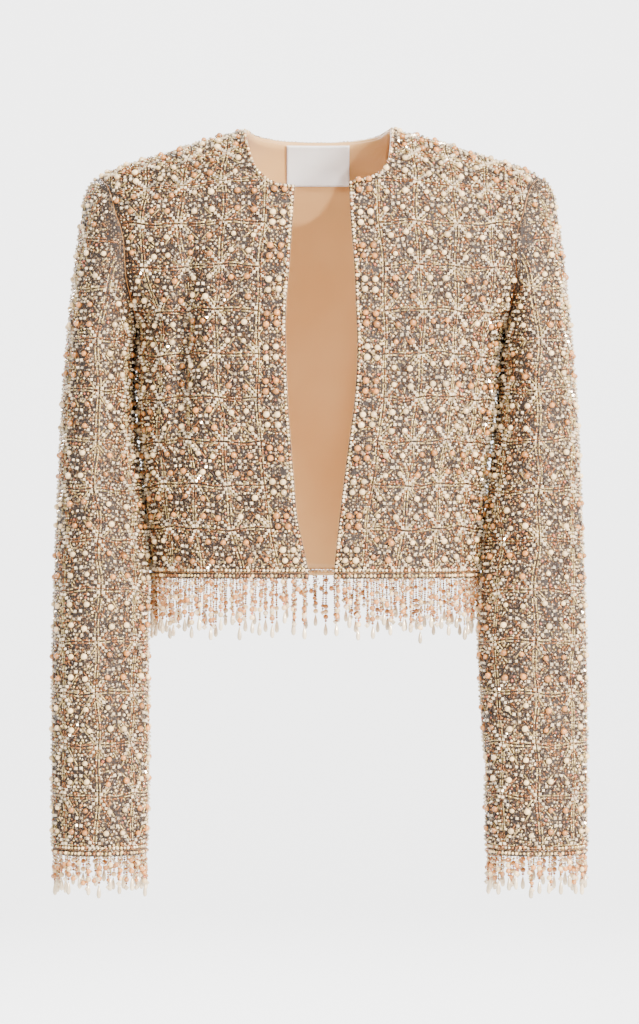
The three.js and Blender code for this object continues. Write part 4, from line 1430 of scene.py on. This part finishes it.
# %% Beaded sleeves
SLEEVE_WINDOW, SLEEVE_WINDOW_ROWS = 34, 14
FIRST_WINDOW_UP = 2.2


def above_cuff(places):
    return places[:, 2] > CUFF_Z + HEM_CLEAR


ring = np.append(np.arange(AROUND), 0)
for side in ("right", "left"):
    rows = []
    for row in range(SLEEVE_WINDOW_ROWS):
        for column in range(SLEEVE_COLUMNS):
            made = window(SLEEVE_WINDOW, SLEEVE_ROW, large_tone(column, row))
            rows += tiled(made, SLEEVE_WINDOW, column, SLEEVE_ROW * row + FIRST_WINDOW_UP)
    parts = [from_chart(charts["sleeve_" + side], rows, above_cuff, SLEEVE_COLUMNS)]
    tube = sleeves[side]
    parts.append(edge_row(*grid_edge(tube, RINGS, ring, RINGS - 1, ring)))
    sew("sleeve_" + side + "_beads", parts)

# %% [markdown]
# ## Strands of the fringe
# A strand is a thread of seeds and rounds with a glass drop at its end. Three kinds hang by
# turns, and a thinner one with a small crystal hangs between them. A strand is listed from its
# bead at the bottom upwards, since that is the one that has to end at the right height. Each row
# of a thread holds a bead's kind, the height that it takes up, its size and its tone.

# %% Fringe strands
THREAD = {
    "peach": [
        (DROP, 12.5, 1.22, CLEAR),
        (SEED, 2.4, 1.2, COPPER),
        (ROUND, 4.8, 0.9, PEACH),
        (ROUND, 4.6, 0.86, CREAM),
        (ROUND, 4.6, 0.86, PEACH),
    ],
    "cream": [
        (DROP, 11.5, 1.14, CLEAR),
        (ROUND, 4.7, 0.88, CREAM),
        (SEED, 2.2, 1.1, ROSE),
        (ROUND, 4.5, 0.84, PEACH),
        (CRYSTAL, 3.2, 1.1, CLEAR),
    ],
    "drop": [
        (DROP, 13.0, 1.28, CLEAR),
        (SEED, 2.2, 1.1, COPPER),
        (BUGLE, 5.0, 1.3, OLIVE),
        (ROUND, 4.4, 0.84, CREAM),
    ],
    "thin": [
        (CRYSTAL, 5.0, 1.5, CLEAR),
        (SEED, 2.0, 1.0, COPPER),
        (ROUND, 3.4, 0.66, PEACH),
    ],
}
SEED_TONES = (COPPER, OLIVE, COPPER, CLEAR)
SEED_STEP, SEED_SIZE = 1.95, 1.05
ROUND_STEP, ROUND_SIZE = 3.6, 0.74
FRINGE_BUGLE = 4.7


def hang(top, length, facing, kind, lean):
    """One strand: the beads of its thread at the bottom, then seeds with a round now and then."""
    rows = []
    z = -length
    for shape, tall, size, tone in THREAD[kind]:
        rows.append((shape, z + tall / 2, size, tone))
        z += tall
    n = 0
    while z < -0.5:
        if n % 5 == 4 and kind != "thin":
            rows.append((ROUND, z + 1.9, ROUND_SIZE, CREAM if kind == "cream" else PEACH))
            z += ROUND_STEP
        else:
            rows.append((SEED, z + 1, SEED_SIZE, SEED_TONES[n % 4]))
            z += SEED_STEP
        n += 1
    shape, drop, size, tone = np.array(rows).T
    place = top + np.outer(-drop / length, lean) + np.outer(drop, [0, 0, 1])
    size = np.repeat(size[:, None], 3, 1)
    size[shape == BUGLE, 2] = FRINGE_BUGLE
    return beads(shape, place, [0, 0, 1], np.broadcast_to(facing, place.shape), size, tone)


print("threads:", ", ".join(THREAD))

# %% [markdown]
# ## Swags
# Short garlands of small beads join the tops of two strands. A real one hangs as a catenary. So
# small a one can take any smooth curve, here a power of the distance from its middle.

# %% Swags
SWAG_BEADS = 9
SWAG_SAG = (9, 26)


def swag(first, second, facing):
    number = np.arange(SWAG_BEADS)
    t = np.linspace(0.06, 0.94, SWAG_BEADS)
    sag = rng.uniform(*SWAG_SAG) * (1 - np.abs(2 * t - 1) ** 1.3)
    place = first + np.outer(t, second - first) - np.outer(sag, [0, 0, 1]) + facing * 1.2
    kind = np.where(number == SWAG_BEADS // 2, ROUND, SEED)
    size = np.repeat(np.where(kind == ROUND, 0.86, 0.95)[:, None], 3, 1)
    tone = np.where(kind == ROUND, PEACH, np.where(number % 2 == 0, SILVER, CLEAR))
    return beads(kind, place, [0, 0, 1], np.broadcast_to(facing, place.shape), size, tone)


print("a swag has", SWAG_BEADS, "beads and sags", SWAG_SAG, "mm")

# %% [markdown]
# ## Fringe on its tape
# The fringe hangs from a narrow tape sewn under the hem and the cuffs. Its strands hang at the
# same places and lengths as those of the solids, which a wave of two sines makes uneven. The
# thin strands and the swags lie between them. One row of beads hides the tape outside, and one
# inside hides the slit above it.

# %% Fringe
STRIP_BELOW, STRIP_TALL, STRIP_EMBED = 0.5, 5.0, 2.5
LIP_DEPTH, LIP_BELOW = lining_depth + LINING, 1.0
HEM_FRINGE = {"pitch": 9.0, "length": 52.0, "uneven": 9.0}
CUFF_FRINGE = {"pitch": 9.4, "length": 37.0, "uneven": 5.0}
THICK_LEAN, THIN_LEAN = 1.2, 1.4
THIN_LENGTHS = (0.45, 0.85)
WITHOUT_SWAG = 0.3


def strands(middle, flat, sizes, phase, closed):
    """All strands and swags that hang from one length of tape."""
    run = np.linalg.norm(np.diff(middle, axis=0), axis=1).sum()
    count = round(run / sizes["pitch"])
    tops, facing = walk(middle, flat, run / count)
    tops = tops - [0, 0, STRIP_BELOW + STRIP_TALL - STRIP_EMBED]
    between_tops, between_facing = walk(middle, flat, run / (2 * count))
    between_tops, between_facing = between_tops[::2], between_facing[::2]
    between_tops = between_tops - [0, 0, STRIP_BELOW + STRIP_TALL]
    parts = []
    for s in range(count):
        wave = math.sin(2.3 * s + phase) + 0.6 * math.sin(5.1 * s + 2 * phase)
        length = sizes["length"] + STRIP_EMBED - STRIP_TALL + sizes["uneven"] * wave / 1.6
        lean = [*rng.normal(0, THICK_LEAN, 2), 0]
        parts.append(hang(tops[s], length, facing[s], ("peach", "drop", "cream")[s % 3], lean))
    for s in range(count):
        length = sizes["length"] * rng.uniform(*THIN_LENGTHS)
        lean = [*rng.normal(0, THIN_LEAN, 2), 0]
        parts.append(hang(between_tops[s], length, between_facing[s], "thin", lean))
    for s in range(count if closed else count - 1):
        if rng.random() >= WITHOUT_SWAG:
            parts.append(swag(tops[s], tops[(s + 1) % count], facing[s]))
    return parts


def fringe(name, edge, normals, sizes, phase, closed=False):
    flat = normals * [1, 1, 0]
    flat /= np.linalg.norm(flat, axis=1, keepdims=True)
    if closed:
        edge, flat = np.concatenate([edge, edge[:1]]), np.concatenate([flat, flat[:1]])
    parts = strands(edge - flat * WALL / 2, flat, sizes, phase, closed)
    tape_middle = edge - [0, 0, STRIP_BELOW + STRIP_TALL / 2]
    parts.append(edge_row(tape_middle, flat, np.zeros(3), (OLIVE, CREAM, COPPER)))
    behind = edge - flat * LIP_DEPTH - [0, 0, LIP_BELOW]
    parts.append(edge_row(behind, -flat, np.zeros(3), (CLEAR, SILVER, CREAM)))
    sew(name + "_beads", parts)
    outer = np.stack([edge - [0, 0, STRIP_BELOW + STRIP_TALL], edge - [0, 0, STRIP_BELOW]])
    if closed:
        outer, flat = outer[:, :-1], flat[:-1]
    wall(name + "_tape", outer, outer - flat * WALL, [ground, satin], closed)


for side, phase in (("right", 0.4), ("left", 2.1)):
    half = panels[side, -1]
    fringe("hem_fringe_front_" + side, half["points"][0], half["normals"][0], HEM_FRINGE, phase)
fringe("hem_fringe_back", back["points"][0], back["normals"][0], HEM_FRINGE, 3.3)
for side, phase in (("right", 1.2), ("left", 4.4)):
    tube = sleeves[side]
    fringe("cuff_fringe_" + side, tube["points"][-1], tube["normals"][-1], CUFF_FRINGE, phase, True)

# %% [markdown]
# ## What each piece is
# Every dressed piece rides on the one body, and each cloth piece and each fringe's beads hide
# the solid that they stand in for. Each cloth's cut is printed. A sheet's flat size is what a
# cutter needs, so it is measured here along the cloth: the widest row by the longest column,
# and the true area between them.

# %% Cuts and places
def cut_of(points, wraps=False):
    closed = np.concatenate([points, points[:, :1]], 1) if wraps else points
    wide = np.linalg.norm(np.diff(closed, axis=1), axis=-1).sum(1).max()
    long = np.linalg.norm(np.diff(closed, axis=0), axis=-1).sum(0).max()
    one, two = closed[1:, 1:] - closed[:-1, :-1], closed[1:, :-1] - closed[:-1, 1:]
    area = np.linalg.norm(np.cross(one, two), axis=-1).sum() / 2
    return (round(wide * MM, 4), round(long * MM, 4)), round(float(area) * MM * MM, 5)


def cloth(name, node, points, on=(), wraps=False):
    flat, area = cut_of(points, wraps)
    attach(pieces[name], "root")
    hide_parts(node)
    print(name, "cut", flat, "m, area", area)


def trim(name, slot, *nodes):
    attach(pieces[name], "root")
    if nodes:
        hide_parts(*nodes)


for side in ("right", "left"):
    name = "front_" + side
    cloth(name + "_cloth", name, panels[side, -1]["points"], [name + "_beads"])
    name = "sleeve_" + side
    cloth(name + "_cloth", name, sleeves[side]["points"], [name + "_beads"], True)
cloth("back_cloth", "back", back["points"], ["back_right_beads", "back_left_beads"])
cloth("back_lining_satin", "back_lining", lining_outer)
cloth("label_tape", "label", label_grid)
for name in ("front_right", "front_left", "back_right", "back_left", "sleeve_right", "sleeve_left"):
    trim(name + "_beads", "beaded_cloth")
for place in ("hem", "cuff"):
    for part in ("front_right", "front_left", "back") if place == "hem" else ("right", "left"):
        name = place + "_fringe_" + part
        trim(name + "_beads", "bead_fringe", name)
        trim(name + "_tape", "bead_fringe")

# %% [markdown]
# ## Floor and backdrop
# The jacket is shown as worn, with nothing inside it, in a wide bowl of pale paper. A photographer
# would hang one sheet behind it. A round sweep is used here instead, so that a camera on any side
# sees the same plain ground.

# %% Bowl of paper
FLOOR_Z = -1.25
PAPER = (0.93, 0.93, 0.93, 1)
FLAT_REACH, CURVE, WALL_TOP = 5.4, 1.6, 4.6


def bowl():
    """A round sweep of pale paper: a flat floor that curves up into a wall on every side."""
    profile = [(0.05, 0.0), (2.5, 0.0), (FLAT_REACH, 0.0)]
    for a in np.linspace(0.1, math.pi / 2, 14):
        profile.append((FLAT_REACH + CURVE * math.sin(a), CURVE - CURVE * math.cos(a)))
    profile.append((FLAT_REACH + CURVE, WALL_TOP))
    around = 72
    turns = 2 * np.pi * np.arange(around) / around
    verts = [(r * math.cos(t), r * math.sin(t), FLOOR_Z + z) for r, z in profile for t in turns]
    faces = [
        (low + k, low + (k + 1) % around, low + around + (k + 1) % around, low + around + k)
        for low in range(0, around * (len(profile) - 1), around)
        for k in range(around)
    ]
    faces.append(tuple(reversed(range(around))))
    mesh = bpy.data.meshes.new("pale_floor")
    mesh.from_pydata(verts, [], [face[::-1] for face in faces])
    mesh.shade_smooth()
    made = bpy.data.objects.new("pale_floor", mesh)
    bpy.context.scene.collection.objects.link(made)
    mesh.materials.append(material("pale paper", lambda nodes: {"Base Color": PAPER, "Roughness": 0.9}))
    print(made.name, len(faces), "faces")
    return made


bowl()

# %% [markdown]
# ## Lights
# A large soft light from the viewer's right models the folds and a weak one fills the left. One
# from above lifts the shoulders, a small one by the camera puts sparks on the beads, one from
# behind keeps the back from going dark, and the last one lights the paper.

# %% Lights
HEART = (0, 0, -0.3)


def soft_light(name, place, target, size, power, colour=(1, 1, 1)):
    light = bpy.data.lights.new(name, "AREA")
    light.shape, light.size, light.energy, light.color = "DISK", size, power, colour
    made = bpy.data.objects.new(name, light)
    made.location = place
    direction = [t - p for t, p in zip(target, place)]
    made.rotation_euler = Vector(direction).to_track_quat("-Z", "Y").to_euler()
    bpy.context.scene.collection.objects.link(made)
    print(name, "light:", power, "W,", size, "m wide")


soft_light("key", (2.3, -2.4, 0.9), HEART, 0.8, 300, (1, 0.97, 0.93))
soft_light("fill", (-2.2, -2.8, 0.1), HEART, 1.6, 12)
soft_light("top", (0.3, -1.2, 1.9), (0, 0, -0.2), 0.4, 60)
soft_light("spark", (1.1, -3.0, 0.5), HEART, 0.12, 84)
soft_light("behind", (-1.6, 3.2, 1.5), HEART, 1.0, 110)
soft_light("paper", (0, 2.6, 2.2), (0, 7.0, -0.6), 1.2, 600)
world = bpy.data.worlds.new("studio")
world.use_nodes = True
sky = world.node_tree.nodes["Background"]
sky.inputs["Color"].default_value = (1, 0.99, 0.98, 1)
sky.inputs["Strength"].default_value = 0.5
bpy.context.scene.world = world

# %% [markdown]
# ## Camera
# The scale of the photograph fixes the lens: 1024 rows of 0.87 mm are seen at the shoulders'
# depth from 3.2 m away, and the longer side of the picture takes the sensor's 36 mm.

# %% Camera
DISTANCE, EYE_Z = 3.2, -0.315
SENSOR = 36
SEEN = 1024 * 0.87 * MM
lens = bpy.data.cameras.new("level view")
lens.sensor_width = SENSOR
lens.lens = SENSOR * DISTANCE / SEEN
camera = bpy.data.objects.new("level view", lens)
camera.location = (0, -DISTANCE, EYE_Z)
camera.rotation_euler = (math.pi / 2, 0, 0)
bpy.context.scene.collection.objects.link(camera)
bpy.context.scene.camera = camera
print("lens", round(lens.lens, 1), "mm")
